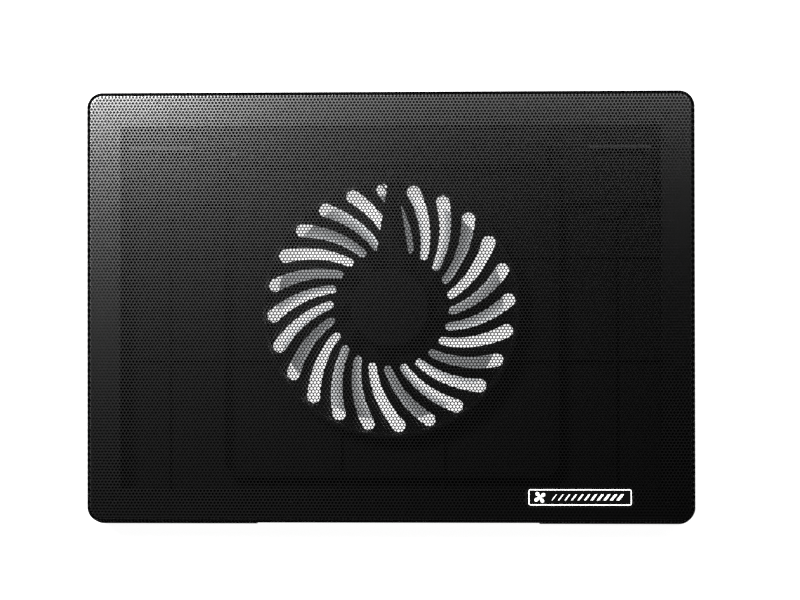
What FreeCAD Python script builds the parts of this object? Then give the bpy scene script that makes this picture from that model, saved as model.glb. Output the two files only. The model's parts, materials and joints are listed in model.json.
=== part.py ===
import FreeCAD, Part
import math
import os

# A laptop cooling pad: perforated steel top on a plastic support frame, a screwed lower housing with a
# swirl grille, one large fan on a bracket with a single arm, a power switch and a stowed cable at the
# rear, and two legs that fold down under the rear edge.
#
# Units are millimetres. The origin is on the desk plane under the fan's axis, which is the middle of the
# pad. +X is the user's right, +Y the rear and +Z up.

Vector = FreeCAD.Vector
X_AXIS = Vector(1, 0, 0)
Y_AXIS = Vector(0, 1, 0)
Z_AXIS = Vector(0, 0, 1)

# The pad as a whole
PAD_WIDTH = 350.0
PAD_DEPTH = 249.0
PAD_HEIGHT = 25.0
CORNER_RADIUS = 9.0
HALF_WIDTH = PAD_WIDTH / 2
HALF_DEPTH = PAD_DEPTH / 2

# Perforated steel top
SHEET = 0.6
BEND_RADIUS = 2.0
FLANGE_LOW = 19.0
FRONT_LIP = 0.9
PANEL_FRONT = -HALF_DEPTH + FRONT_LIP
SHEET_LOW = PAD_HEIGHT - SHEET
TAB_WIDTH = 8.0
TAB_REACH = 3.0
SIDE_TAB_Y = (-70.0, 0.0, 70.0)
END_TAB_X = (-110.0, 110.0)

# Support frame, the ledge under the sheet
FRAME_GAP = 0.2
FRAME_THICK = 2.0
LEDGE_SIDE = 19.5
LEDGE_REAR = 18.7
LEDGE_FRONT = 19.2
LEDGE_CORNER = 3.0
FRAME_LOW = SHEET_LOW - FRAME_THICK
SKIRT_LOW = FLANGE_LOW + SHEET
LEDGE_RIB_LOW = 17.4
LEDGE_TOP = SHEET_LOW - 0.7
FRAME_RIM = 2.5

# Case screws, driven up from below
SCREW_PLACES = [
    (x * side, y * end)
    for x, y in ((159.0, 112.0), (57.5, 111.0))
    for side in (-1, 1)
    for end in (-1, 1)
]
POST_TOP = 17.0
POST_RADIUS = 4.5
BOSS_RADIUS = 3.5
THREAD_RADIUS = 1.2
SCREW_SEAT = 10.0

# Lower housing
HULL_GAP = 0.2
WALL = 2.2
HULL_LOW = 3.0
FLOOR_TOP = HULL_LOW + WALL
HULL_FILLET = 7.5
HULL_SIDE = HALF_WIDTH - HULL_GAP
HULL_REAR = HALF_DEPTH - HULL_GAP
REAR_INSIDE = HULL_REAR - WALL
NOTCH_LEFT = -77.0
NOTCH_RIGHT = 86.0
NOTCH_LOW = 9.0
RIB = 1.6
FLOOR_RIB_TOP = 9.0
FLOOR_RIB_START = 70.0
FLOOR_RIB_PLACE = 30.0
OUTER_RIB_X = 130.0
SCREW_HOLE_RADIUS = 1.5
SCREW_HEAD_HOLE_RADIUS = 3.2
BRACKET_BOSS_RADIUS = 3.5

# Swirl grille in the floor
SLOT_COUNT = 24
SLOT_INNER = 33.5
SLOT_OUTER = 72.6
SLOT_START_ANGLE = 18.0
SLOT_START_RADIUS = 35.3
SLOT_SWEEP = 0.651
SLOT_INNER_ROUND = 2.35
SLOT_OUTER_ROUND = 3.9
SHROUD_INNER = 73.0
SHROUD_OUTER = 75.0
SHROUD_TOP = 22.0
PLENUM_HALF = 97.5
PLENUM_TOP = 17.0
PLENUM_CORNER = 9.0
WIRE_GAP_FRONT = 84.0
WIRE_GAP_REAR = 100.0
WIRE_GAP_TOP = 12.0

# Fan bracket
BRACKET_LOW = 6.4
BRACKET_TOP = 8.0
BRACKET_RADIUS = 32.5
BRACKET_SCREW_RADIUS = 28.0
BRACKET_SCREW_ANGLES = (60.0, 180.0, 300.0)
BRACKET_THREAD = 1.1
ARM_SCREW_Y = 79.0
ARM_END_RADIUS = 75.0
ARM_END_HALF = 1.8
ARM_TAPER = 0.175
ARM_SHIFT = 1.1
ARM_LUG_RADIUS = 4.2
CLIP_PLACES = (42.0, 58.0)
CLIP_HALF = 1.8
CLIP_SPACE_HALF = 1.15
CLIP_TOP = 9.4
CLIP_SPACE_TOP = 9.05

# Motor
TUBE_RADIUS = 4.5
TUBE_TOP = 17.5
SLEEVE_RADIUS = 3.0
SLEEVE_LOW = 9.0
CAP_TOP = 7.4
WASHER_TOP = 7.8
WASHER_RADIUS = 2.9
SHAFT_RADIUS = 1.5
SHAFT_PLAY = 0.03
SHAFT_LOW = 7.82
SHAFT_TOP = 20.2
GROOVE_RADIUS = 1.2
GROOVE_LOW = 8.2
GROOVE_TOP = 8.7
CLIP_RING_RADIUS = 2.3
BOARD_LOW = 8.4
BOARD_TOP = 9.2
BOARD_RADIUS = 19.0
CORE_LOW = 10.8
CORE_TOP = 16.8
POLE_COUNT = 4
POLE_INNER = 15.0
POLE_OUTER = 17.0
POLE_HALF_ANGLE = 35.0
TOOTH_HALF = 2.0
BOBBIN_WALL = 0.6
COIL_THICK = 0.9
COIL_INNER = 7.6
COIL_OUTER = 13.6
MAGNET_INNER = 17.6
MAGNET_OUTER = 19.8
MAGNET_LOW = 10.3
MAGNET_TOP = 17.3
YOKE_OUTER = 20.8
YOKE_LOW = 9.6
YOKE_TOP = 19.4
YOKE_SHEET = 0.6

# Impeller
HUB_RADIUS = 22.6
HUB_LOW = 9.4
HUB_TOP = 21.0
TIP_RADIUS = 65.5
BLADE_COUNT = 9
BLADE_LOW = 10.2
BLADE_HIGH = 20.8
BLADE_HALF_ANGLE = 12.0
BLADE_MIDDLE_ANGLE = 50.6
BLADE_MIDDLE_RADIUS = 48.1
BLADE_SWEEP = 0.664
BLADE_THICK = 1.8
BLADE_EDGE = 0.6
BLADE_CAMBER = 0.08

# Legs folded into the underside at the rear
LEG_AXIS_Y = 97.0
LEG_AXIS_Z = 6.4
LEG_HALF_THICK = 2.3
LEG_LENGTH = 31.0
LEG_BARREL = 3.0
LEG_LEFT = 102.4
LEG_RIGHT = 149.6
LEG_MIDDLE = (LEG_LEFT + LEG_RIGHT) / 2
PIN_RADIUS = 1.5
PIN_PLAY = 0.05
TIP_DEPTH = 2.5
POCKET_LEFT = 102.0
POCKET_RIGHT = 150.0
POCKET_FRONT = 62.5
POCKET_REAR = LEG_AXIS_Y + 3.35
POCKET_ROOF = 10.0
POCKET_WALL = 2.0
SCOOP_RADIUS = 9.0
ROOF_RIB_LEFT = 115.0
ROOF_RIB_Y = 92.5
ROOF_RIB_THICK = 2.3
ROOF_RIB_TOP = 21.5

# Cable bay in the underside at the rear
BAY_HALF = 88.0
BAY_FRONT = 85.0
BAY_REAR = 106.0
BAY_ROOF = 14.0
CABLE_RADIUS = 1.7
CABLE_Z = 9.3
PASS_GAP = 6.0
PASS_FIRST = 89.5
CABLE_END_X = -92.5
OUTLET_LEFT = -31.5
OUTLET_RIGHT = -26.5
OUTLET_TOP = 8.5
GROMMET_RADIUS = 3.0
GROMMET_COLLAR_RADIUS = 4.0
PLUG_Y = PASS_FIRST + PASS_GAP
PLUG_FACE_X = 84.0
PLUG_SEAT_X = 68.0
PLUG_HALF_WIDTH = 6.0
PLUG_HALF_HEIGHT = 2.25
PLUG_SHEET = 0.3
GRIP_START_X = 42.0
GRIP_END_X = 72.0
GRIP_HALF_WIDTH = 8.0
GRIP_HALF_HEIGHT = 4.0
TONGUE_TOP = CABLE_Z - 0.1

# Power switch in the rear wall
SWITCH_X = -112.0
SWITCH_Z = 14.2
SWITCH_TRAVEL = 4.0
SWITCH_BACK = 115.1
SWITCH_SCREW_X = 11.0
SWITCH_BOSS_Y = 118.1
SWITCH_THREAD = 0.8
SWITCH_HALF_LENGTH = 8.0
SWITCH_HALF_HEIGHT = 3.6
TRACK_FRONT = 119.4
SLIDER_FRONT = 119.6
SLIDER_REAR = 121.6
KNOB_REAR = 124.1
TERMINAL_FRONT = 111.6
TERMINAL_REAR = 118.0
TERMINAL_SPACING = 4.0

# Wires inside the housing
WIRE_RADIUS = 0.5
FLOOR_WIRE_Z = FLOOR_TOP + WIRE_RADIUS
ARM_WIRE_Z = BRACKET_TOP + WIRE_RADIUS

# Badge let into the sheet at the front right
BADGE_X = 109.0
BADGE_Y = -108.7
BADGE_LENGTH = 59.6
BADGE_WIDTH = 9.8
BADGE_CORNER = 1.5
BADGE_RIM = 0.6
BADGE_FIELD_DEPTH = 0.15
BADGE_PEG_RADIUS = 0.8
BADGE_PEG_X = 22.0

# Rubber feet
FOOT_TOP = HULL_LOW + 0.8
FOOT_X = 130.0
FRONT_FOOT_Y = -100.0
REAR_FOOT_Y = 110.0
FOOT_LENGTH = 34.0
FOOT_WIDTH = 8.0

# Small steps used while building
SAME = 1e-6
OVERLAP = 1.0


def block(x0, x1, y0, y1, z0, z1):
    return Part.makeBox(x1 - x0, y1 - y0, z1 - z0, Vector(x0, y0, z0))


def rod(radius, start, end):
    """A solid cylinder between two points."""
    along = end - start
    return Part.makeCylinder(radius, along.Length, start, along)


def disc(radius, z0, z1, x=0.0, y=0.0):
    return rod(radius, Vector(x, y, z0), Vector(x, y, z1))


def ring(outer, inner, z0, z1, x=0.0, y=0.0):
    return disc(outer, z0, z1, x, y).cut(disc(inner, z0, z1, x, y))


def rounded_block(x0, x1, y0, y1, z0, z1, radius):
    """A block whose four upright edges are rounded."""
    solid = block(x0, x1, y0, y1, z0, z1)
    uprights = [e for e in solid.Edges if abs(e.Vertexes[0].Z - e.Vertexes[1].Z) > SAME]
    return solid.makeFillet(radius, uprights)


def level_edges(solid, z):
    """The edges of a solid that lie in the plane at height z."""

    def is_level(edge):
        return abs(edge.BoundBox.ZMin - z) < SAME and abs(edge.BoundBox.ZMax - z) < SAME

    return [e for e in solid.Edges if is_level(e)]


def join(solids):
    return solids[0].multiFuse(solids[1:]).removeSplitter()


def polar(radius, degrees, z=0.0):
    """A point at an angle measured clockwise from the rear, seen from above."""
    turn = math.radians(degrees)
    return Vector(radius * math.sin(turn), radius * math.cos(turn), z)


def turned(shape, degrees):
    """A copy turned about the fan axis, counterclockwise seen from above."""
    copy = shape.copy()
    copy.rotate(Vector(0, 0, 0), Z_AXIS, degrees)
    return copy


def mirrored(shape):
    """The same shape on the other side of the pad's middle plane."""
    return shape.mirror(Vector(0, 0, 0), X_AXIS)


def rounded_path(points, bend):
    """A wire through the points, with an arc of radius bend at each corner that has room for it."""
    edges = []
    last = points[0]
    for before, corner, after in zip(points, points[1:], points[2:]):
        into = (before - corner).normalize()
        out = (after - corner).normalize()
        half_angle = into.getAngle(out) / 2
        room = 0.49 * min((before - corner).Length, (after - corner).Length)
        trim = min(bend / math.tan(half_angle), room)
        radius = trim * math.tan(half_angle)
        start = corner + into * trim
        end = corner + out * trim
        inward = (into + out).normalize()
        middle = corner + inward * (radius / math.sin(half_angle) - radius)
        edges.append(Part.makeLine(last, start))
        edges.append(Part.Arc(start, middle, end).toShape())
        last = end
    edges.append(Part.makeLine(last, points[-1]))
    return Part.Wire(edges)


def cord(points, radius, bend):
    """A round cord swept along a path with rounded corners."""
    path = rounded_path(points, bend)
    along = (points[1] - points[0]).normalize()
    profile = Part.Wire(Part.makeCircle(radius, points[0], along))
    return path.makePipeShell([profile], True, True)


def screw(point, direction, thread_radius, length, head_radius, head_height):
    """A pan-head screw: point is under the head, and direction is the way the thread goes."""
    shank = rod(thread_radius, point, point + direction * length)
    head = rod(head_radius, point - direction * head_height, point)
    top = point - direction * head_height
    cross = recess_cross(top, direction, head_radius * 1.1, head_height * 0.55)
    return join([shank, head]).cut(cross)


def recess_cross(point, direction, span, depth):
    """The cross-shaped driver recess in a screw head."""
    width = span * 0.2
    arms = [
        block(-span / 2, span / 2, -width / 2, width / 2, 0, depth),
        block(-width / 2, width / 2, -span / 2, span / 2, 0, depth),
    ]
    cross = join(arms)
    turn = FreeCAD.Rotation(Z_AXIS, direction)
    cross.Placement = FreeCAD.Placement(point, turn)
    return cross


# Top: perforated sheet, badge and support frame


def mesh_panel():
    """The folded sheet. Its perforation is left plain here."""
    outer = rounded_block(
        -HALF_WIDTH, HALF_WIDTH, PANEL_FRONT, HALF_DEPTH, FLANGE_LOW, PAD_HEIGHT, CORNER_RADIUS
    )
    outer = outer.makeFillet(BEND_RADIUS, level_edges(outer, PAD_HEIGHT))
    side = HALF_WIDTH - SHEET
    front = PANEL_FRONT + SHEET
    rear = HALF_DEPTH - SHEET
    inner = rounded_block(-side, side, front, rear, FLANGE_LOW, SHEET_LOW, CORNER_RADIUS - SHEET)
    inner = inner.makeFillet(BEND_RADIUS - SHEET, level_edges(inner, SHEET_LOW))
    sheet = outer.cut(inner)
    tabs = []
    for y in SIDE_TAB_Y:
        y0 = y - TAB_WIDTH / 2
        y1 = y + TAB_WIDTH / 2
        tabs.append(block(side - TAB_REACH, side, y0, y1, FLANGE_LOW, SKIRT_LOW))
        tabs.append(block(-side, -side + TAB_REACH, y0, y1, FLANGE_LOW, SKIRT_LOW))
    for x in END_TAB_X:
        x0 = x - TAB_WIDTH / 2
        x1 = x + TAB_WIDTH / 2
        tabs.append(block(x0, x1, rear - TAB_REACH, rear, FLANGE_LOW, SKIRT_LOW))
        tabs.append(block(x0, x1, front, front + TAB_REACH, FLANGE_LOW, SKIRT_LOW))
    window = badge_outline(FRAME_GAP, SHEET_LOW - OVERLAP, PAD_HEIGHT + OVERLAP)
    return join([sheet] + tabs).cut(window)


def badge_outline(margin, z0, z1):
    """The badge's rounded rectangle, grown by margin."""
    half_length = BADGE_LENGTH / 2 + margin
    half_width = BADGE_WIDTH / 2 + margin
    return rounded_block(
        BADGE_X - half_length,
        BADGE_X + half_length,
        BADGE_Y - half_width,
        BADGE_Y + half_width,
        z0,
        z1,
        BADGE_CORNER + margin,
    )


def badge_pegs():
    return [
        disc(BADGE_PEG_RADIUS, FRAME_LOW, LEDGE_TOP, BADGE_X + side * BADGE_PEG_X, BADGE_Y)
        for side in (-1, 1)
    ]


def badge_plate():
    """A blank plate with a raised rim, staked into the ledge by two pegs."""
    plate = badge_outline(0.0, LEDGE_TOP, PAD_HEIGHT)
    field = badge_outline(-BADGE_RIM, PAD_HEIGHT - BADGE_FIELD_DEPTH, PAD_HEIGHT + OVERLAP)
    return join([plate.cut(field)] + badge_pegs())


def support_frame():
    """The plastic ring under the sheet, with a raised rim that the sheet rests on, a wide ledge just below
    the sheet, a skirt, a rib round its opening and eight screw bosses."""
    side = HALF_WIDTH - SHEET - FRAME_GAP
    front = PANEL_FRONT + SHEET + FRAME_GAP
    rear = HALF_DEPTH - SHEET - FRAME_GAP
    corner = CORNER_RADIUS - SHEET - FRAME_GAP
    outer = rounded_block(-side, side, front, rear, SKIRT_LOW, SHEET_LOW, corner)
    outer = outer.makeFillet(BEND_RADIUS - SHEET + FRAME_GAP, level_edges(outer, SHEET_LOW))
    rim = FRAME_RIM
    recess = rounded_block(
        -side + rim, side - rim, front + rim, rear - rim, LEDGE_TOP, SHEET_LOW + OVERLAP, corner - rim
    )
    skirt = FRAME_THICK
    under = rounded_block(
        -side + skirt, side - skirt, front + skirt, rear - skirt, SKIRT_LOW, FRAME_LOW, corner - skirt
    )
    left = -HALF_WIDTH + LEDGE_SIDE
    low = PANEL_FRONT + LEDGE_FRONT
    high = HALF_DEPTH - LEDGE_REAR
    opening = rounded_block(left, -left, low, high, LEDGE_RIB_LOW, PAD_HEIGHT, LEDGE_CORNER)
    rib = rounded_block(
        left - RIB, -left + RIB, low - RIB, high + RIB, LEDGE_RIB_LOW, FRAME_LOW, LEDGE_CORNER + RIB
    )
    bosses = [disc(BOSS_RADIUS, POST_TOP, FRAME_LOW, x, y) for x, y in SCREW_PLACES]
    pilots = [disc(THREAD_RADIUS, POST_TOP, PAD_HEIGHT, x, y) for x, y in SCREW_PLACES]
    body = join([outer.cut(under), rib] + bosses)
    return body.cut([opening, recess] + pilots + badge_pegs())


# Lower housing


def slot_centre(radius):
    """The grille slot's centreline, a spiral that turns back as it goes outward."""
    angle = SLOT_START_ANGLE - SLOT_SWEEP * (radius - SLOT_START_RADIUS)
    return polar(radius, angle)


def slot_direction(radius):
    """The unit vector along the slot's centreline, outward."""
    step = 0.1
    return (slot_centre(radius + step) - slot_centre(radius - step)).normalize()


def grille_slot():
    """One slot of the swirl grille: two spiral sides closed by round ends."""
    start = SLOT_INNER + SLOT_INNER_ROUND
    end = SLOT_OUTER - SLOT_OUTER_ROUND
    steps = 4
    left, right = [], []
    for i in range(steps + 1):
        share = i / steps
        radius = start + (end - start) * share
        half_width = SLOT_INNER_ROUND + (SLOT_OUTER_ROUND - SLOT_INNER_ROUND) * share
        along = slot_direction(radius)
        across = Vector(-along.y, along.x, 0) * half_width
        left.append(slot_centre(radius) + across)
        right.append(slot_centre(radius) - across)
    outer_tip = slot_centre(end) + slot_direction(end) * SLOT_OUTER_ROUND
    inner_tip = slot_centre(start) - slot_direction(start) * SLOT_INNER_ROUND
    left_side = Part.BSplineCurve()
    left_side.interpolate(left)
    right_side = Part.BSplineCurve()
    right_side.interpolate(right)
    outline = Part.Wire(
        [
            left_side.toShape(),
            Part.Arc(left[-1], outer_tip, right[-1]).toShape(),
            right_side.toShape().reversed(),
            Part.Arc(right[0], inner_tip, left[0]).toShape(),
        ]
    )
    outline.translate(Z_AXIS * (HULL_LOW - OVERLAP))
    return Part.Face(outline).extrude(Z_AXIS * (WALL + 2 * OVERLAP))


def hull_envelope():
    """The housing's outer surface as a solid: upright sides and a rounded bottom edge."""
    outer = rounded_block(
        -HULL_SIDE, HULL_SIDE, -HALF_DEPTH, HULL_REAR, HULL_LOW, FLANGE_LOW, CORNER_RADIUS
    )
    return outer.makeFillet(HULL_FILLET, level_edges(outer, HULL_LOW))


def hull():
    """The open tray: flat floor and upright rim, with a front lip cut by a notch."""
    outer = hull_envelope()
    side = HULL_SIDE - WALL
    inner = rounded_block(
        -side, side, -HALF_DEPTH + WALL, REAR_INSIDE, FLOOR_TOP, FLANGE_LOW, CORNER_RADIUS - WALL
    )
    inner = inner.makeFillet(HULL_FILLET - WALL, level_edges(inner, FLOOR_TOP))
    notch = block(NOTCH_LEFT, NOTCH_RIGHT, -HALF_DEPTH - OVERLAP, PANEL_FRONT, NOTCH_LOW, FLANGE_LOW)
    return outer.cut(inner).cut(notch)


def plenum_wall():
    """The low rounded-rectangle wall round the fan, with a gap where the wires pass."""
    half = PLENUM_HALF
    inside = half - RIB
    low = FLOOR_TOP - OVERLAP
    outer = rounded_block(-half, half, -half, half, low, PLENUM_TOP, PLENUM_CORNER)
    inner = rounded_block(-inside, inside, -inside, inside, low, PLENUM_TOP, PLENUM_CORNER - RIB)
    gap_end = -BAY_HALF - POCKET_WALL
    wire_gap = block(-half - OVERLAP, gap_end, WIRE_GAP_FRONT, WIRE_GAP_REAR, low - OVERLAP, WIRE_GAP_TOP)
    return outer.cut(inner).cut(wire_gap)


def floor_rib(x0, x1, y0, y1):
    return block(x0, x1, y0, y1, FLOOR_TOP - OVERLAP, FLOOR_RIB_TOP)


def stiffening_ribs():
    """Straight ribs on the floor from the fan's shroud to the walls."""
    half = RIB / 2
    side = HULL_SIDE - WALL
    front = -HALF_DEPTH + WALL
    ribs = []
    for place in (-FLOOR_RIB_PLACE, FLOOR_RIB_PLACE):
        ribs.append(floor_rib(FLOOR_RIB_START, side, place - half, place + half))
        ribs.append(floor_rib(-side, -FLOOR_RIB_START, place - half, place + half))
        ribs.append(floor_rib(place - half, place + half, front, -FLOOR_RIB_START))
    for x in (-OUTER_RIB_X, OUTER_RIB_X):
        ribs.append(floor_rib(x - half, x + half, front, POCKET_FRONT))
    return ribs


def leg_roof_rib():
    """The tall rib that stands on the right pocket's roof."""
    half = ROOF_RIB_THICK / 2
    return block(ROOF_RIB_LEFT, POCKET_RIGHT, ROOF_RIB_Y - half, ROOF_RIB_Y + half, POCKET_ROOF, ROOF_RIB_TOP)


def leg_pocket_walls():
    """The box over the right leg's pocket and the finger scoop's wall."""
    box = block(
        POCKET_LEFT - POCKET_WALL,
        POCKET_RIGHT + POCKET_WALL,
        POCKET_FRONT - POCKET_WALL,
        POCKET_REAR + POCKET_WALL,
        FLOOR_TOP - OVERLAP,
        POCKET_ROOF + POCKET_WALL,
    )
    scoop = disc(SCOOP_RADIUS + POCKET_WALL, FLOOR_TOP - OVERLAP, POCKET_ROOF, LEG_MIDDLE, POCKET_FRONT)
    return [box, scoop]


def leg_pocket_space():
    """What is hollow for the right leg: the pocket, the finger scoop and the pin's hole."""
    low = HULL_LOW - OVERLAP
    space = block(POCKET_LEFT, POCKET_RIGHT, POCKET_FRONT, POCKET_REAR, low, POCKET_ROOF)
    scoop = disc(SCOOP_RADIUS, low, POCKET_ROOF - POCKET_WALL, LEG_MIDDLE, POCKET_FRONT)
    return [space, scoop, leg_pin_rod()]


def leg_pin_rod():
    """The right leg's steel pin, through both side walls of its pocket."""
    return leg_rod(PIN_RADIUS, POCKET_LEFT - POCKET_WALL, POCKET_RIGHT + POCKET_WALL)


def bay_walls():
    """The box over the cable bay and the tunnel that lets the cable out at the rear."""
    box = block(
        -BAY_HALF - POCKET_WALL,
        BAY_HALF + POCKET_WALL,
        BAY_FRONT - POCKET_WALL,
        BAY_REAR + POCKET_WALL,
        FLOOR_TOP - OVERLAP,
        BAY_ROOF + POCKET_WALL,
    )
    left = OUTLET_LEFT - POCKET_WALL
    right = OUTLET_RIGHT + POCKET_WALL
    top = OUTLET_TOP + POCKET_WALL
    tunnel = block(left, right, BAY_REAR, REAR_INSIDE + OVERLAP, FLOOR_TOP - OVERLAP, top)
    return [box, tunnel]


def bay_space():
    """The cable bay's hollow, its rear outlet and the grommet's hole."""
    low = HULL_LOW - OVERLAP
    space = block(-BAY_HALF, BAY_HALF, BAY_FRONT, BAY_REAR, low, BAY_ROOF)
    outlet = block(OUTLET_LEFT, OUTLET_RIGHT, BAY_REAR - OVERLAP, HALF_DEPTH + OVERLAP, low, OUTLET_TOP)
    hole = rod(
        GROMMET_RADIUS,
        Vector(-BAY_HALF - POCKET_WALL - OVERLAP, PASS_FIRST, CABLE_Z),
        Vector(-BAY_HALF + OVERLAP, PASS_FIRST, CABLE_Z),
    )
    return [space, outlet, hole]


def bay_fingers():
    """Tabs across the bay's mouth that hold the cable and the plug up."""
    cable_low = CABLE_Z - CABLE_RADIUS
    cable_reach = 6.5
    plug_low = CABLE_Z - GRIP_HALF_HEIGHT
    plug_reach = 4.5
    half = 3.0

    def finger(x, front, reach, top, thick):
        y0 = BAY_FRONT - OVERLAP if front else BAY_REAR - reach
        y1 = BAY_FRONT + reach if front else BAY_REAR + OVERLAP
        return block(x - half, x + half, y0, y1, top - thick, top)

    return [
        finger(-50.0, True, cable_reach, cable_low, 2.0),
        finger(-20.0, False, cable_reach, cable_low, 2.0),
        finger(57.0, True, plug_reach, plug_low, 1.6),
        finger(57.0, False, plug_reach, plug_low, 1.6),
    ]


def at_switch_screws(radius, front, rear):
    """A rod at each of the switch's two screws, from front to rear."""
    places = (SWITCH_X - SWITCH_SCREW_X, SWITCH_X + SWITCH_SCREW_X)
    return [rod(radius, Vector(x, front, SWITCH_Z), Vector(x, rear, SWITCH_Z)) for x in places]


def around_switch(half_length, half_height, front, rear):
    """A block centred on the switch, seen from behind."""
    left = SWITCH_X - half_length
    right = SWITCH_X + half_length
    return block(left, right, front, rear, SWITCH_Z - half_height, SWITCH_Z + half_height)


def switch_features():
    """Bosses behind the rear wall for the switch's two screws."""
    return at_switch_screws(2.5, SWITCH_BOSS_Y, REAR_INSIDE + OVERLAP / 2)


def switch_openings():
    """The slider's window, the dished recess round it and the two pilot holes."""
    window = around_switch(4.9, 2.2, REAR_INSIDE - OVERLAP, HALF_DEPTH + OVERLAP)
    dish = around_switch(7.5, 3.4, HULL_REAR - 0.8, HALF_DEPTH + OVERLAP)
    return [window, dish] + at_switch_screws(SWITCH_THREAD, SWITCH_BOSS_Y, REAR_INSIDE)


def bracket_screw_places():
    """Three screws round the motor plate and one at the end of the arm."""
    plate = [polar(BRACKET_SCREW_RADIUS, angle) for angle in BRACKET_SCREW_ANGLES]
    return plate + [Vector(0, ARM_SCREW_Y, 0)]


def foot_pad(x, y, z0, z1):
    """A rubber foot's rounded bar."""
    return rounded_block(
        x - FOOT_LENGTH / 2,
        x + FOOT_LENGTH / 2,
        y - FOOT_WIDTH / 2,
        y + FOOT_WIDTH / 2,
        z0,
        z1,
        FOOT_WIDTH / 2 - 0.01,
    )


def wire_pass():
    """A low opening in the shroud behind the arm for the fan's wires."""
    return block(-10.0, 6.0, FLOOR_RIB_START, SHROUD_OUTER + 2.0, FLOOR_TOP, 10.4)


def base_shell_solids():
    """The tray with its walls, ribs and posts, all kept inside the rounded outer surface."""
    low = FLOOR_TOP - OVERLAP
    inside = [plenum_wall()] + stiffening_ribs()
    for feature in leg_pocket_walls():
        inside += [feature, mirrored(feature)]
    inside += bay_walls() + switch_features()
    inside += [disc(POST_RADIUS, low, POST_TOP, x, y) for x, y in SCREW_PLACES]
    inside += [disc(BRACKET_BOSS_RADIUS, low, BRACKET_LOW, p.x, p.y) for p in bracket_screw_places()]
    shroud = ring(SHROUD_OUTER, SHROUD_INNER, low, SHROUD_TOP)
    roof_ribs = [leg_roof_rib(), mirrored(leg_roof_rib())]
    return join([hull(), join(inside).common(hull_envelope()), shroud] + roof_ribs)


def base_shell_hollows():
    """Everything that is cut away from the lower housing."""
    low = HULL_LOW - OVERLAP
    hollows = bay_space() + switch_openings() + [wire_pass()]
    for space in leg_pocket_space():
        hollows += [space, mirrored(space)]
    for x, y in SCREW_PLACES:
        hollows.append(disc(SCREW_HOLE_RADIUS, low, POST_TOP, x, y))
        hollows.append(disc(SCREW_HEAD_HOLE_RADIUS, low, SCREW_SEAT, x, y))
    for p in bracket_screw_places():
        hollows.append(disc(BRACKET_THREAD, HULL_LOW + 0.6, BRACKET_LOW, p.x, p.y))
    for x in (-FOOT_X, FOOT_X):
        for y in (FRONT_FOOT_Y, REAR_FOOT_Y):
            hollows.append(foot_pad(x, y, low, FOOT_TOP))
    slot = grille_slot()
    return hollows + [turned(slot, 360.0 / SLOT_COUNT * i) for i in range(SLOT_COUNT)]


def base_shell():
    """The lower housing: tray, walls and posts first, then everything that is hollow."""
    return join([base_shell_solids().cut(base_shell_hollows())] + bay_fingers())


# Fan bracket and motor


def arm_outline(z0, z1):
    """The tapered arm from the motor plate to the rear, set a little to the right of the fan's axis."""
    start = BRACKET_RADIUS - 4.0
    start_half = ARM_END_HALF + (ARM_END_RADIUS - start) * ARM_TAPER
    corners = [
        Vector(ARM_SHIFT - start_half, start, z0),
        Vector(ARM_SHIFT + start_half, start, z0),
        Vector(ARM_SHIFT + ARM_END_HALF, ARM_SCREW_Y, z0),
        Vector(ARM_SHIFT - ARM_END_HALF, ARM_SCREW_Y, z0),
    ]
    outline = Part.makePolygon(corners + [corners[0]])
    return Part.Face(outline).extrude(Z_AXIS * (z1 - z0))


def wire_clip(y):
    """A small bridge on the arm that the wires pass under."""
    low = BRACKET_TOP - OVERLAP / 2
    bridge = block(-CLIP_HALF, CLIP_HALF, y - 1.5, y + 1.5, low, CLIP_TOP)
    return bridge.cut(block(-CLIP_SPACE_HALF, CLIP_SPACE_HALF, y - 2, y + 2, BRACKET_TOP, CLIP_SPACE_TOP))


def fan_bracket():
    """The motor plate with its bearing tube, tapered arm, board rests and wire clips."""
    rests = [polar(12.0, angle) for angle in (45.0, 165.0, 285.0)]
    solids = [
        disc(BRACKET_RADIUS, BRACKET_LOW, BRACKET_TOP),
        arm_outline(BRACKET_LOW, BRACKET_TOP),
        disc(ARM_LUG_RADIUS, BRACKET_LOW, BRACKET_TOP, 0, ARM_SCREW_Y - 0.5),
        disc(TUBE_RADIUS, BRACKET_LOW, TUBE_TOP),
    ]
    body = join(solids + [disc(1.2, BRACKET_LOW, BOARD_LOW, p.x, p.y) for p in rests])
    dust_ring = ring(HUB_RADIUS + 2.6, HUB_RADIUS + 1.4, BRACKET_TOP - OVERLAP / 2, 8.8)
    dust_ring = dust_ring.cut(block(-2.0, 2.0, 20.0, 30.0, BRACKET_TOP, 10.0))
    body = join([body, dust_ring] + [wire_clip(y) for y in CLIP_PLACES])
    holes = [disc(SLEEVE_RADIUS, BRACKET_LOW, TUBE_TOP)]
    holes += [disc(1.3, BRACKET_LOW, BRACKET_TOP, p.x, p.y) for p in bracket_screw_places()]
    return body.cut(holes)


def bearing_sleeve():
    return ring(SLEEVE_RADIUS, SHAFT_RADIUS + SHAFT_PLAY, SLEEVE_LOW, TUBE_TOP)


def bearing_cap():
    """The plug that closes the bearing tube's lower end."""
    return disc(SLEEVE_RADIUS, BRACKET_LOW, CAP_TOP)


def thrust_washer():
    return disc(WASHER_RADIUS, CAP_TOP, WASHER_TOP)


def rotor_shaft():
    """The steel shaft with its clip groove."""
    shaft = disc(SHAFT_RADIUS, SHAFT_LOW, SHAFT_TOP)
    return shaft.cut(ring(SHAFT_RADIUS + OVERLAP, GROOVE_RADIUS, GROOVE_LOW, GROOVE_TOP))


def shaft_clip():
    """The split ring that stops the rotor lifting out."""
    clip = ring(CLIP_RING_RADIUS, GROOVE_RADIUS, GROOVE_LOW, GROOVE_TOP)
    half_split = 0.6
    return clip.cut(block(0.0, SLEEVE_RADIUS, -half_split, half_split, GROOVE_LOW, GROOVE_TOP))


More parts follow.
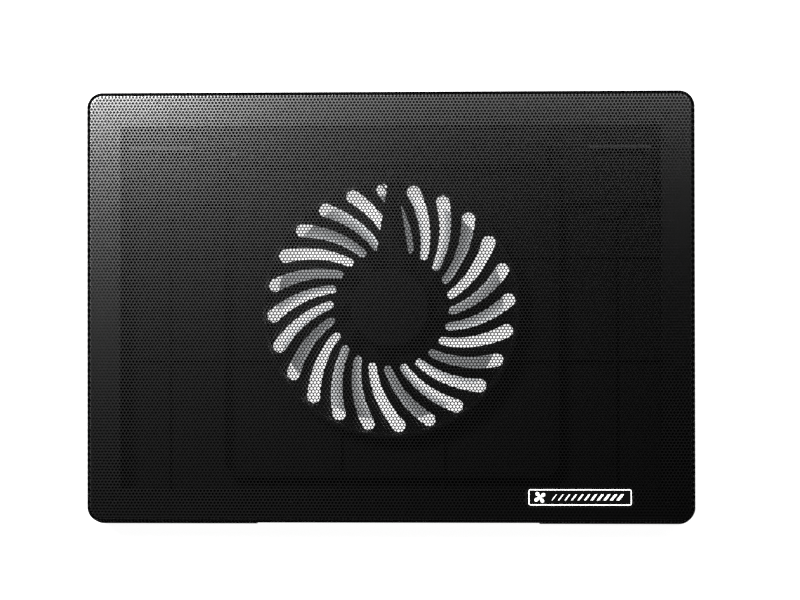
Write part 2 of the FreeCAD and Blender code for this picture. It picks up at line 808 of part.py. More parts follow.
def motor_board():
    return ring(BOARD_RADIUS, TUBE_RADIUS + FRAME_GAP, BOARD_LOW, BOARD_TOP)


def motor_chips():
    """The driver chip and the rotor position sensor, between the poles."""
    driver = block(6.6, 9.8, 6.6, 9.4, BOARD_TOP, BOARD_TOP + 1.0)
    sensor = block(-9.2, -7.2, 7.0, 8.6, BOARD_TOP, BOARD_TOP + 0.8)
    return Part.makeCompound([driver, sensor])


def pole_gap():
    """A wedge that parts two neighbouring pole shoes."""
    reach = 2 * POLE_OUTER
    spread = reach * math.tan(math.radians(180.0 / POLE_COUNT - POLE_HALF_ANGLE))
    corners = [Vector(0, 0, CORE_LOW), Vector(reach, spread, CORE_LOW), Vector(reach, -spread, CORE_LOW)]
    outline = Part.makePolygon(corners + [corners[0]])
    return Part.Face(outline).extrude(Z_AXIS * (CORE_TOP - CORE_LOW))


def stator_core():
    """The laminated core: a ring on the bearing tube, four teeth and their pole shoes."""
    turn = 360.0 / POLE_COUNT
    hub_radius = 6.5
    hub = ring(hub_radius, TUBE_RADIUS, CORE_LOW, CORE_TOP)
    shoes = ring(POLE_OUTER, POLE_INNER, CORE_LOW, CORE_TOP)
    shoes = shoes.cut([turned(pole_gap(), turn * (i + 0.5)) for i in range(POLE_COUNT)])
    tooth = block(hub_radius - 1.0, POLE_INNER + 0.5, -TOOTH_HALF, TOOTH_HALF, CORE_LOW, CORE_TOP)
    return join([hub, shoes] + [turned(tooth, turn * i) for i in range(POLE_COUNT)])


def round_poles(shape):
    """One copy of a coil part for each pole, as separate solids."""
    return Part.makeCompound([turned(shape, 360.0 / POLE_COUNT * i) for i in range(POLE_COUNT)])


def stator_insulators():
    """A plastic bobbin round each tooth. Its flanges stand on the board."""
    half = TOOTH_HALF + BOBBIN_WALL
    low = CORE_LOW - BOBBIN_WALL
    high = CORE_TOP + BOBBIN_WALL
    barrel = block(COIL_INNER - BOBBIN_WALL, COIL_OUTER + BOBBIN_WALL, -half, half, low, high)
    flanges = [
        block(x, x + BOBBIN_WALL, -4.2, 4.2, BOARD_TOP, CORE_TOP + 1.6)
        for x in (COIL_INNER - BOBBIN_WALL, COIL_OUTER)
    ]
    tooth = block(5.0, POLE_OUTER, -TOOTH_HALF, TOOTH_HALF, CORE_LOW, CORE_TOP)
    return round_poles(join([barrel] + flanges).cut(tooth))


def stator_windings():
    """The copper on each bobbin, as one solid with the wire's outer size."""
    half = TOOTH_HALF + BOBBIN_WALL
    low = CORE_LOW - BOBBIN_WALL
    high = CORE_TOP + BOBBIN_WALL
    outer = block(
        COIL_INNER, COIL_OUTER, -half - COIL_THICK, half + COIL_THICK, low - COIL_THICK, high + COIL_THICK
    )
    across = [e for e in outer.Edges if abs(e.Vertexes[0].X - e.Vertexes[1].X) > 1.0]
    outer = outer.makeFillet(COIL_THICK * 0.8, across)
    return round_poles(outer.cut(block(COIL_INNER, COIL_OUTER, -half, half, low, high)))


def rotor_magnet():
    return ring(MAGNET_OUTER, MAGNET_INNER, MAGNET_LOW, MAGNET_TOP)


def rotor_yoke():
    """The drawn steel cup that backs the magnet."""
    cup = disc(YOKE_OUTER, YOKE_LOW, YOKE_TOP)
    hollow = disc(MAGNET_OUTER, YOKE_LOW, YOKE_TOP - YOKE_SHEET)
    centre_hole = disc(6.0, YOKE_LOW, YOKE_TOP)
    return cup.cut([hollow, centre_hole])


def blade_section(distance):
    """One blade section, flat and square to the radius at this distance from the axis.

    The blade's leading edge is low and points the way the fan turns, which is counterclockwise seen from
    above, so that it lifts air towards the laptop.
    """
    angle = BLADE_MIDDLE_ANGLE - BLADE_SWEEP * (distance - BLADE_MIDDLE_RADIUS)
    outward = polar(1.0, angle)
    trailing = Vector(outward.y, -outward.x, 0)
    half_chord = distance * math.tan(math.radians(BLADE_HALF_ANGLE))
    half_rise = (BLADE_HIGH - BLADE_LOW) / 2
    pitch = math.atan2(half_rise, half_chord)
    middle = outward * distance + Z_AXIS * (BLADE_LOW + half_rise)
    along = trailing * math.cos(pitch) + Z_AXIS * math.sin(pitch)
    normal = Z_AXIS * math.cos(pitch) - trailing * math.sin(pitch)
    half_length = math.hypot(half_chord, half_rise)
    camber = normal * (-2 * half_length * BLADE_CAMBER)
    edge = normal * (BLADE_EDGE / 2)
    thick = normal * (BLADE_THICK / 2)
    lead = middle - along * half_length
    tail = middle + along * half_length
    return Part.Wire(
        [
            Part.Arc(lead + edge, middle + camber + thick, tail + edge).toShape(),
            Part.makeLine(tail + edge, tail - edge),
            Part.Arc(tail - edge, middle + camber - thick, lead - edge).toShape(),
            Part.makeLine(lead - edge, lead + edge),
        ]
    )


def blade():
    """One blade, from inside the hub's wall to the tip circle."""
    start = YOKE_OUTER + 0.4
    end = TIP_RADIUS + 1.5
    steps = 5
    distances = [start + (end - start) * i / steps for i in range(steps + 1)]
    solid = Part.makeLoft([blade_section(d) for d in distances], True, False)
    return solid.common(disc(TIP_RADIUS, HUB_LOW, HUB_TOP + OVERLAP))


def fan_impeller():
    """The hub cup with nine swept blades and a boss for the shaft."""
    cup = disc(HUB_RADIUS, HUB_LOW, HUB_TOP)
    cup = cup.makeFillet(1.4, level_edges(cup, HUB_TOP))
    cup = cup.cut(disc(YOKE_OUTER, HUB_LOW, YOKE_TOP))
    boss_low = TUBE_TOP + 0.4
    boss = disc(3.5, boss_low, HUB_TOP - OVERLAP)
    blades = [turned(blade(), -360.0 / BLADE_COUNT * i) for i in range(BLADE_COUNT)]
    return join([cup, boss] + blades).cut(disc(SHAFT_RADIUS, boss_low - OVERLAP, SHAFT_TOP))


# Switch, cable and wires


def switch_housing():
    """The slide switch's body with two screw ears."""
    body = around_switch(SWITCH_HALF_LENGTH, SWITCH_HALF_HEIGHT, SWITCH_BACK, REAR_INSIDE)
    ears = around_switch(SWITCH_SCREW_X + 3.0, 3.0, SWITCH_BOSS_Y - 1.5, SWITCH_BOSS_Y)
    track = around_switch(6.6, 2.4, TRACK_FRONT, REAR_INSIDE)
    holes = at_switch_screws(1.0, SWITCH_BACK, SWITCH_BOSS_Y)
    return join([body, ears]).cut([track] + holes + terminal_blades())


def terminal_blades():
    """Three flat blades that run through the switch's back wall."""
    half_width = 0.8
    half_thick = 0.25
    blades = []
    for place in (-1, 0, 1):
        x = SWITCH_X + place * TERMINAL_SPACING
        blades.append(
            block(
                x - half_width,
                x + half_width,
                TERMINAL_FRONT,
                TERMINAL_REAR,
                SWITCH_Z - half_thick,
                SWITCH_Z + half_thick,
            )
        )
    return blades


def switch_terminals():
    return Part.makeCompound(terminal_blades())


def switch_slider():
    """The slider at its left end. Its ridged knob stands in the rear wall's window."""
    middle = SWITCH_X - SWITCH_TRAVEL / 2

    def piece(x, half_length, half_height, front, rear):
        low = SWITCH_Z - half_height
        high = SWITCH_Z + half_height
        return block(middle + x - half_length, middle + x + half_length, front, rear, low, high)

    plate = piece(0.0, 4.0, 2.2, SLIDER_FRONT, SLIDER_REAR)
    knob = piece(0.0, 2.5, 1.9, SLIDER_REAR, KNOB_REAR)
    grooves = [piece(x, 0.25, 2.0, KNOB_REAR - 0.4, KNOB_REAR + 0.1) for x in (-1.5, -0.5, 0.5, 1.5)]
    return join([plate, knob]).cut(grooves)


def switch_screws():
    y = SWITCH_BOSS_Y - 1.5
    places = [Vector(SWITCH_X + side * SWITCH_SCREW_X, y, SWITCH_Z) for side in (-1, 1)]
    return Part.makeCompound([screw(p, Y_AXIS, SWITCH_THREAD, 4.5, 1.8, 1.2) for p in places])


def usb_cable():
    """The jacketed cable, folded into three passes across the bay and ending inside the plug's grip."""
    low = PASS_FIRST
    middle = PASS_FIRST + PASS_GAP
    high = PASS_FIRST + 2 * PASS_GAP
    right_turn = 14.0
    left_turn = -80.0
    route = [
        (CABLE_END_X, low),
        (right_turn, low),
        (right_turn, middle),
        (left_turn, middle),
        (left_turn, high),
        (21.0, high),
        (29.0, PLUG_Y),
        (GRIP_START_X + 2.0, PLUG_Y),
    ]
    return cord([Vector(x, y, CABLE_Z) for x, y in route], CABLE_RADIUS, PASS_GAP / 2)


def cable_grommet():
    """The rubber ring where the cable goes through the bay's end wall."""
    wall_outer = -BAY_HALF - POCKET_WALL
    collar = 1.0

    def part(radius, x0, x1):
        return rod(radius, Vector(x0, PASS_FIRST, CABLE_Z), Vector(x1, PASS_FIRST, CABLE_Z))

    body = join(
        [
            part(GROMMET_COLLAR_RADIUS, wall_outer - collar, wall_outer),
            part(GROMMET_RADIUS, wall_outer, -BAY_HALF),
            part(GROMMET_COLLAR_RADIUS, -BAY_HALF, -BAY_HALF + collar),
        ]
    )
    return body.cut(part(CABLE_RADIUS, wall_outer - 2 * collar, -BAY_HALF + 2 * collar))


def plug_rod(radius, x0, x1):
    """A round piece along the plug's middle line."""
    return rod(radius, Vector(x0, PLUG_Y, CABLE_Z), Vector(x1, PLUG_Y, CABLE_Z))


def plug_grip():
    """The moulded grip with a tapered, ringed strain relief."""
    y0 = PLUG_Y - GRIP_HALF_WIDTH
    y1 = PLUG_Y + GRIP_HALF_WIDTH
    z0 = CABLE_Z - GRIP_HALF_HEIGHT
    z1 = CABLE_Z + GRIP_HALF_HEIGHT
    grip = block(GRIP_START_X, GRIP_END_X, y0, y1, z0, z1)
    grip = grip.makeFillet(1.5, grip.Edges)
    relief_start = GRIP_START_X - 8.0
    relief = Part.makeCone(2.4, 3.6, 9.0, Vector(relief_start, PLUG_Y, CABLE_Z), X_AXIS)
    grooves = []
    for i in range(3):
        x = relief_start + 2.0 + 2.2 * i
        grooves.append(plug_rod(4.0, x, x + 0.8).cut(plug_rod(2.3, x, x + 0.8)))
    for x in (52.0, 55.0, 58.0):
        for face in (z0, z1):
            grooves.append(block(x, x + 1.0, PLUG_Y - 5.0, PLUG_Y + 5.0, face - 0.4, face + 0.4))
    seat = plug_box(0.0, PLUG_SEAT_X, PLUG_FACE_X)
    bore = plug_rod(CABLE_RADIUS, relief_start - OVERLAP, GRIP_START_X + 2.0)
    return join([grip, relief]).cut(grooves + [seat, bore])


def plug_box(inset, x0, x1):
    """The plug's rectangular outline, shrunk by inset."""
    half_width = PLUG_HALF_WIDTH - inset
    half_height = PLUG_HALF_HEIGHT - inset
    return block(
        x0, x1, PLUG_Y - half_width, PLUG_Y + half_width, CABLE_Z - half_height, CABLE_Z + half_height
    )


def plug_shell():
    """The folded steel sleeve, with two square windows on each wide face."""
    sleeve = plug_box(0.0, PLUG_SEAT_X, PLUG_FACE_X).cut(plug_box(PLUG_SHEET, PLUG_SEAT_X, PLUG_FACE_X))
    half = 1.2
    low = CABLE_Z - GRIP_HALF_HEIGHT
    high = CABLE_Z + GRIP_HALF_HEIGHT
    x = PLUG_SEAT_X + 8.0
    places = (PLUG_Y - 2.8, PLUG_Y + 2.8)
    return sleeve.cut([block(x, x + 2 * half, y - half, y + half, low, high) for y in places])


def plug_tongue():
    """The plastic tongue in the sleeve's lower half, with a block closing the sleeve behind it."""
    inner = PLUG_HALF_WIDTH - PLUG_SHEET
    low = CABLE_Z - PLUG_HALF_HEIGHT + PLUG_SHEET
    high = CABLE_Z + PLUG_HALF_HEIGHT - PLUG_SHEET
    y0 = PLUG_Y - inner
    y1 = PLUG_Y + inner
    tongue = block(PLUG_SEAT_X, PLUG_FACE_X - 0.5, y0, y1, low, TONGUE_TOP)
    back = block(PLUG_SEAT_X, PLUG_SEAT_X + 4.5, y0, y1, low, high)
    return join([tongue, back])


def plug_contacts():
    """Four flat contacts on the tongue."""
    start = PLUG_SEAT_X + 5.0
    end = PLUG_FACE_X - 1.2
    half = 0.5
    places = [PLUG_Y + y for y in (-3.5, -1.0, 1.0, 3.5)]
    return Part.makeCompound(
        [block(start, end, y - half, y + half, TONGUE_TOP, TONGUE_TOP + 0.2) for y in places]
    )


def wire_points(points):
    return [Vector(x, y, z) for x, y, z in points]


def fan_wire_positive():
    """From the motor board along the arm and the floor to the switch."""
    x = -95.2
    y = 79.2
    up_y = 109.6
    terminal_x = SWITCH_X + TERMINAL_SPACING
    route = [
        (-0.6, BOARD_RADIUS, ARM_WIRE_Z),
        (-0.6, 66.0, ARM_WIRE_Z),
        (-6.5, 74.0, ARM_WIRE_Z),
        (-9.0, y, FLOOR_WIRE_Z),
        (x, y, FLOOR_WIRE_Z),
        (x, up_y, FLOOR_WIRE_Z),
        (x, up_y, SWITCH_Z),
        (terminal_x, up_y, SWITCH_Z),
        (terminal_x, TERMINAL_FRONT, SWITCH_Z),
    ]
    return cord(wire_points(route), WIRE_RADIUS, 2.0)


def fan_wire_negative():
    """From the motor board along the arm and the floor to the cable's inner end."""
    x = -93.9
    y = 80.8
    end_y = PASS_FIRST - 0.6
    route = [
        (0.6, BOARD_RADIUS, ARM_WIRE_Z),
        (0.6, 68.0, ARM_WIRE_Z),
        (-5.0, 75.6, ARM_WIRE_Z),
        (-7.5, y, FLOOR_WIRE_Z),
        (x, y, FLOOR_WIRE_Z),
        (x, end_y, FLOOR_WIRE_Z),
        (x, end_y, CABLE_Z),
        (CABLE_END_X, end_y, CABLE_Z),
    ]
    return cord(wire_points(route), WIRE_RADIUS, 2.0)


def switch_wire():
    """From the cable's inner end to the switch's middle terminal."""
    x = -94.2
    y = PASS_FIRST + 0.9
    z = CABLE_Z + 0.3
    up_y = 107.4
    route = [
        (CABLE_END_X, y, z),
        (x, y, z),
        (x, up_y, z),
        (x, up_y, SWITCH_Z + 1.0),
        (SWITCH_X, up_y, SWITCH_Z + 1.0),
        (SWITCH_X, up_y + 2.1, SWITCH_Z),
        (SWITCH_X, TERMINAL_FRONT, SWITCH_Z),
    ]
    return cord(wire_points(route), WIRE_RADIUS, 2.0)


# Legs, feet and fasteners


def leg_rod(radius, x0, x1):
    """A round piece on the right leg's hinge line."""
    return rod(radius, Vector(x0, LEG_AXIS_Y, LEG_AXIS_Z), Vector(x1, LEG_AXIS_Y, LEG_AXIS_Z))


def edges_at_front(solid, y):
    """The edges of a solid that lie wholly at depth y."""
    return [e for e in solid.Edges if all(abs(v.Y - y) < SAME for v in e.Vertexes)]


def right_flip_foot():
    """The folding leg: a barrel on the pin, two side bars, a cross bar and a slot for the rubber tip."""
    low = LEG_AXIS_Z - LEG_HALF_THICK
    high = LEG_AXIS_Z + LEG_HALF_THICK
    end = LEG_AXIS_Y - LEG_LENGTH
    plate = block(LEG_LEFT, LEG_RIGHT, end, LEG_AXIS_Y, low, high)
    free_corners = [e for e in edges_at_front(plate, end) if e.Length < LEG_RIGHT - LEG_LEFT - OVERLAP]
    plate = plate.makeFillet(4.0, free_corners)
    window = rounded_block(LEG_MIDDLE - 13.0, LEG_MIDDLE + 13.0, end + 9.0, end + 21.0, low, high, 2.0)
    bore = leg_rod(PIN_RADIUS + PIN_PLAY, LEG_LEFT - OVERLAP, LEG_RIGHT + OVERLAP)
    grooves = [
        block(LEG_MIDDLE - 10.0, LEG_MIDDLE + 10.0, end + y, end + y + 0.8, low, low + 0.4)
        for y in (2.0, 4.0, 6.0)
    ]
    body = join([leg_rod(LEG_BARREL, LEG_LEFT, LEG_RIGHT), plate])
    return body.cut([window, bore, tip_tongue()] + grooves)


def tip_tongue():
    """The tongue that keys the rubber tip into the leg."""
    end = LEG_AXIS_Y - LEG_LENGTH
    return block(LEG_MIDDLE - 17.0, LEG_MIDDLE + 17.0, end, end + 1.4, LEG_AXIS_Z - 0.8, LEG_AXIS_Z + 0.8)


def right_foot_tip():
    """The rubber strip on the leg's free end, keyed into it by a tongue."""
    end = LEG_AXIS_Y - LEG_LENGTH
    low = LEG_AXIS_Z - LEG_HALF_THICK
    high = LEG_AXIS_Z + LEG_HALF_THICK
    strip = block(LEG_MIDDLE - 19.0, LEG_MIDDLE + 19.0, end - TIP_DEPTH, end, low, high)
    strip = strip.makeFillet(1.2, edges_at_front(strip, end - TIP_DEPTH))
    return join([strip, tip_tongue()])


def case_screws():
    return Part.makeCompound(
        [screw(Vector(x, y, SCREW_SEAT), Z_AXIS, THREAD_RADIUS, 12.6, 2.8, 1.9) for x, y in SCREW_PLACES]
    )


def bracket_screws():
    down = Z_AXIS * -1
    return Part.makeCompound(
        [
            screw(Vector(p.x, p.y, BRACKET_TOP), down, BRACKET_THREAD, 4.0, 2.2, 1.2)
            for p in bracket_screw_places()
        ]
    )


def rubber_feet(y):
    """Two rubber bars set into the underside, with a rounded lower edge."""
    feet = []
    for x in (-FOOT_X, FOOT_X):
        pad = foot_pad(x, y, 0.0, FOOT_TOP)
        feet.append(pad.makeFillet(0.8, level_edges(pad, 0.0)))
    return Part.makeCompound(feet)


def save(name, shape):
    """Writes one node's STEP file after checking that its solids are sound."""
    if not shape.isValid():
        raise ValueError(name + " is not a valid shape")
    shape.exportStep("parts/" + name + ".step")
    print(f"{name:22s} solids {len(shape.Solids):2d}  volume {shape.Volume / 1000:8.3f} cm3")


os.makedirs("parts", exist_ok=True)

foot = right_flip_foot()
tip = right_foot_tip()
pin = leg_pin_rod()

NODES = {
    "mesh_panel": mesh_panel(),
    "badge_plate": badge_plate(),
    "support_frame": support_frame(),
    "base_shell": base_shell(),
    "fan_bracket": fan_bracket(),
    "bearing_sleeve": bearing_sleeve(),
    "bearing_cap": bearing_cap(),
    "thrust_washer": thrust_washer(),
    "rotor_shaft": rotor_shaft(),
    "shaft_clip": shaft_clip(),
    "motor_board": motor_board(),
    "motor_chips": motor_chips(),
    "stator_core": stator_core(),
    "stator_insulators": stator_insulators(),
    "stator_windings": stator_windings(),
    "rotor_magnet": rotor_magnet(),
    "rotor_yoke": rotor_yoke(),
    "fan_impeller": fan_impeller(),
    "switch_housing": switch_housing(),
    "switch_terminals": switch_terminals(),
    "switch_slider": switch_slider(),
    "switch_screws": switch_screws(),
    "usb_cable": usb_cable(),
    "cable_grommet": cable_grommet(),
    "plug_grip": plug_grip(),
    "plug_shell": plug_shell(),
    "plug_tongue": plug_tongue(),
    "plug_contacts": plug_contacts(),
    "fan_wire_positive": fan_wire_positive(),
    "fan_wire_negative": fan_wire_negative(),
    "switch_wire": switch_wire(),
    "right_flip_foot": foot,
    "left_flip_foot": mirrored(foot),
    "right_foot_tip": tip,
    "left_foot_tip": mirrored(tip),
    "right_foot_pin": pin,
    "left_foot_pin": mirrored(pin),
    "front_rubber_feet": rubber_feet(FRONT_FOOT_Y),
    "rear_rubber_feet": rubber_feet(REAR_FOOT_Y),
    "case_screws": case_screws(),
    "bracket_screws": bracket_screws(),
}

for node_name, node_shape in NODES.items():
    save(node_name, node_shape)
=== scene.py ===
import json
import math

import bpy
import numpy as np
from mathutils import Matrix, Vector


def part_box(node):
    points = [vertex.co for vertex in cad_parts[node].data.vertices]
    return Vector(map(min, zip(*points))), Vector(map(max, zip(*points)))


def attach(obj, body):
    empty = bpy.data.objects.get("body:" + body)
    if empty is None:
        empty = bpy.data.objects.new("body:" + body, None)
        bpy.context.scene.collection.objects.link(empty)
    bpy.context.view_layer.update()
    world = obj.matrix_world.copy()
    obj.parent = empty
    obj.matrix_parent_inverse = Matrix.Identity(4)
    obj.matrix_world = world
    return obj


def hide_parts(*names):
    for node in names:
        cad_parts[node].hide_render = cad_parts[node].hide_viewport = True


# A laptop cooling pad seen from above: its black perforated steel top is real geometry, and the fan, the
# swirl grille and the white desk show through the holes.

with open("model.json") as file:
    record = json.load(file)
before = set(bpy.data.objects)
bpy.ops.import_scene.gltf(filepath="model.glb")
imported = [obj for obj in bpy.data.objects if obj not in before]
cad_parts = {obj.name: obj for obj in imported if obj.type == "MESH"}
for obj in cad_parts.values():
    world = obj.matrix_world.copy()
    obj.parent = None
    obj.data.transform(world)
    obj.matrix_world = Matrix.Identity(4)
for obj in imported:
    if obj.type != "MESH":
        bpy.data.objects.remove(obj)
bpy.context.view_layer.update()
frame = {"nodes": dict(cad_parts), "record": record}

MM = 0.001

# Perforated sheet: holes with flats to their left and right, on a triangular grid
PITCH = 2.0 * MM
HOLE_ACROSS_FLATS = 1.44 * MM
SHEET = 0.6 * MM
CORNER_RADIUS = 9.0 * MM
BEND_RADIUS = 2.0 * MM
PANEL_STRIPS = 8
RIM_MARGIN = 1.0 * MM
LEDGE_WIDTH = 19.5 * MM
NO_SLIVER = 0.02 * MM
SAME_POINT = 0.01 * MM
TINY = 1e-9
TAB_WIDTH = 8.0 * MM
TAB_REACH = 3.0 * MM
SIDE_TAB_PLACES = (-70.0 * MM, 0.0, 70.0 * MM)
END_TAB_PLACES = (-110.0 * MM, 110.0 * MM)

# Badge: its window in the sheet, and the white marks in its sunken field
BADGE_GAP = 0.2 * MM
BADGE_CORNER = 1.5 * MM
BADGE_FIELD_DEPTH = 0.15 * MM
MARK_DEPTH = 0.03 * MM
SIGN_OFFSET = -23.0 * MM
SIGN_BLADES = 4
SIGN_BLADE_TURN = 70.0
SIGN_HUB = 1.0 * MM
SIGN_REACH = 2.6 * MM
SIGN_STEPS = 6
SIGN_ROUNDNESS = 0.6
BAR_COUNT = 11
BAR_START = -15.0 * MM
BAR_STEP = 3.7 * MM
BAR_HEIGHT = 3.4 * MM
BAR_SLANT = 1.3 * MM
BAR_WIDTH = 0.5 * MM
BAR_GROWTH = 0.13 * MM
OUTLINE_INSET = 0.3 * MM
OUTLINE_WIDTH = 0.55 * MM
OUTLINE_HEIGHT = 0.02 * MM

# Housing: how far out its outer wall starts, where the rear rib under the sheet is, and how much of the
# inside's painted shade the rib is spared, which paints it as a lighter, glossier strip
OUTER_WALL_START = 0.7 * MM
ROOF_RIB_Y = 85.0 * MM
ROOF_RIB_Z = 20.0 * MM
ROOF_RIB_PAINTED_LIGHT = 0.5

# Fan blades, as in the CAD part: angles run clockwise from the rear, seen from above
BLADE_COUNT = 9
BLADE_HALF_ANGLE = 12.0
BLADE_MIDDLE_ANGLE = 50.6
BLADE_MIDDLE_RADIUS = 48.1 * MM
BLADE_SWEEP_PER_M = 664.0
HUB_RADIUS = 22.6 * MM
HUB_MARGIN = 0.6 * MM
BLADE_CLEAR_EDGE = 0.96
BLADE_CLEAR_MIDDLE = 0.55
BLADE_SURFACE_SHARE = 0.05

# Camera: straight above, leaning a little to the right
CAMERA_LENS = 100.0
CAMERA_SENSOR = 36.0
CAMERA_DISTANCE = 1.2767
CAMERA_LEAN = math.radians(1.96)
CAMERA_TIP = math.radians(0.4)
CAMERA_ROLL = math.radians(-0.08)
CAMERA_AIM = Vector((0.0060, 0.0045, 0.025))

# Light: a small bright key and a wide dim fill behind it, each facing straight down, in a dim room
KEY_PLACE = (-0.47, 0.43, 1.0)
KEY_SIZE = (0.42, 0.22)
KEY_RADIANCE = 150.0
FILL_PLACE = (0.23, 0.7, 1.0)
FILL_SIZE = (1.84, 0.9)
FILL_RADIANCE = 3.4
HORIZON_GLOW = 0.5
DARK_ABOVE = 0.6
FLOOR_RADIUS = 6.0
FLOOR_GLOW = 0.97
FLOOR_GREY = 0.25


# ---------------------------------------------------------------- materials


class Graph:
    """A short way to build a node tree: a value given as a socket is linked, anything else is set."""

    def __init__(self, name):
        self.material = bpy.data.materials.new(name)
        self.material.use_nodes = True
        self.tree = self.material.node_tree
        self.tree.nodes.clear()

    def node(self, kind, inputs=None, **settings):
        made = self.tree.nodes.new("ShaderNode" + kind)
        for key, value in settings.items():
            setattr(made, key, value)
        for key, value in (inputs or {}).items():
            socket = made.inputs[key]
            if isinstance(value, bpy.types.NodeSocket):
                self.tree.links.new(value, socket)
            else:
                socket.default_value = value
        return made

    def math(self, operation, a, b=0.0, clamp=False):
        made = self.node("Math", {0: a, 1: b}, operation=operation, use_clamp=clamp)
        return made.outputs[0]

    def place(self):
        """Position in the row frame at rest, which moves with the piece."""
        return self.node("TexCoord").outputs["Object"]

    def noise(self, scale, detail=3.0, roughness=0.5):
        inputs = {"Vector": self.place(), "Scale": scale, "Detail": detail, "Roughness": roughness}
        return self.node("TexNoise", inputs).outputs["Fac"]

    def axes(self, vector=None):
        """The X, Y and Z of a vector. Without one, of the position."""
        split = self.node("SeparateXYZ", {"Vector": vector or self.place()})
        return split.outputs["X"], split.outputs["Y"], split.outputs["Z"]

    def upward(self):
        """How far a face looks up, from -1 to 1."""
        return self.axes(self.node("TexCoord").outputs["Normal"])[2]

    def between(self, factor, low, high):
        """Maps a 0 to 1 factor to the range low to high."""
        made = self.node("MapRange", {"Value": factor, "To Min": low, "To Max": high})
        return made.outputs["Result"]

    def fade(self, value, start, end):
        """Goes from 0 at start to 1 at end, and holds there."""
        made = self.node("MapRange", {"Value": value, "From Min": start, "From Max": end})
        return made.outputs["Result"]

    def blend(self, factor, a, b):
        made = self.node("Mix", {"Factor": factor}, data_type="RGBA")
        for socket, value in ((made.inputs[6], a), (made.inputs[7], b)):
            if isinstance(value, bpy.types.NodeSocket):
                self.tree.links.new(value, socket)
            else:
                socket.default_value = value
        return made.outputs[2]

    def bump(self, height, distance, strength=1.0):
        made = self.node("Bump", {"Height": height, "Distance": distance, "Strength": strength})
        return made.outputs["Normal"]

    def finish(self, shader):
        output = self.node("OutputMaterial")
        self.tree.links.new(shader, output.inputs["Surface"])
        return self.material


def shade(colour, factor):
    return tuple(min(1.0, c * factor) for c in colour) + (1.0,)


def moulded(name, colour, roughness, grain=2600.0, depth=0.012, specular=0.5):
    """Moulded plastic or rubber: a fine bumpy grain with slow changes in tone and sheen."""
    g = Graph(name)
    grain_noise = g.noise(grain, 4.0, 0.6)
    slow_noise = g.noise(38.0, 2.0)
    tone = g.blend(slow_noise, shade(colour, 0.82), shade(colour, 1.2))
    mean_noise = g.math("ADD", g.math("MULTIPLY", slow_noise, 0.5), g.math("MULTIPLY", grain_noise, 0.5))
    sheen = g.between(mean_noise, roughness - 0.06, roughness + 0.06)
    shader = g.node("BsdfPrincipled", {
        "Base Color": tone,
        "Roughness": sheen,
        "Specular IOR Level": specular,
        "Normal": g.bump(grain_noise, depth * MM),
    })
    return g.finish(shader.outputs[0])


def past_sides(g, inset):
    """How far a point is past the sheet's sides, moved in by inset: first along X, then along Y."""
    low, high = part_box("mesh_panel")
    x, y, _ = g.axes()
    distances = []
    for value, a, b in ((x, low.x, high.x), (y, low.y, high.y)):
        from_middle = g.math("ABSOLUTE", g.math("SUBTRACT", value, (a + b) / 2))
        distances.append(g.math("SUBTRACT", from_middle, (b - a) / 2 - inset))
    return distances


def edge_distance(g):
    """How far a point is outside the sheet's flat top, in plan. Negative on the flat."""
    squares = []
    for past_side in past_sides(g, CORNER_RADIUS):
        past_core = g.math("MAXIMUM", past_side, 0.0)
        squares.append(g.math("MULTIPLY", past_core, past_core))
    return g.math("SUBTRACT", g.math("SQRT", g.math("ADD", *squares)), CORNER_RADIUS - BEND_RADIUS)


def over_ledge(g):
    """1 where the sheet lies over the frame's ledge, 0 over the opening."""
    furthest = g.math("MAXIMUM", *past_sides(g, LEDGE_WIDTH))
    return g.math("GREATER_THAN", furthest, 0.0)


def powder_coat(name, colour, roughness, specular, ledge_extra):
    """Black powder coat on steel. The flat top is glossy, the bend is dull, and the coat is ledge_extra
    rougher where it lies over the ledge.
    """
    g = Graph(name)
    peel = g.noise(1500.0, 2.0, 0.4)
    speck = g.noise(5200.0, 1.0)
    tone = g.blend(speck, shade(colour, 0.8), shade(colour, 1.25))
    level = g.fade(edge_distance(g), 0.0, -0.4 * MM)
    upright = g.fade(g.upward(), 0.3, 0.2)
    flat = g.math("MAXIMUM", level, upright)
    flat_roughness = g.between(over_ledge(g), roughness, roughness + ledge_extra)
    sheen = g.math("ADD", g.between(speck, -0.03, 0.03), g.between(flat, 0.5, flat_roughness))
    shader = g.node("BsdfPrincipled", {
        "Base Color": tone,
        "Roughness": sheen,
        "Specular IOR Level": g.between(flat, 0.0, specular),
        "Normal": g.bump(peel, 0.002 * MM),
    })
    return g.finish(shader.outputs[0])


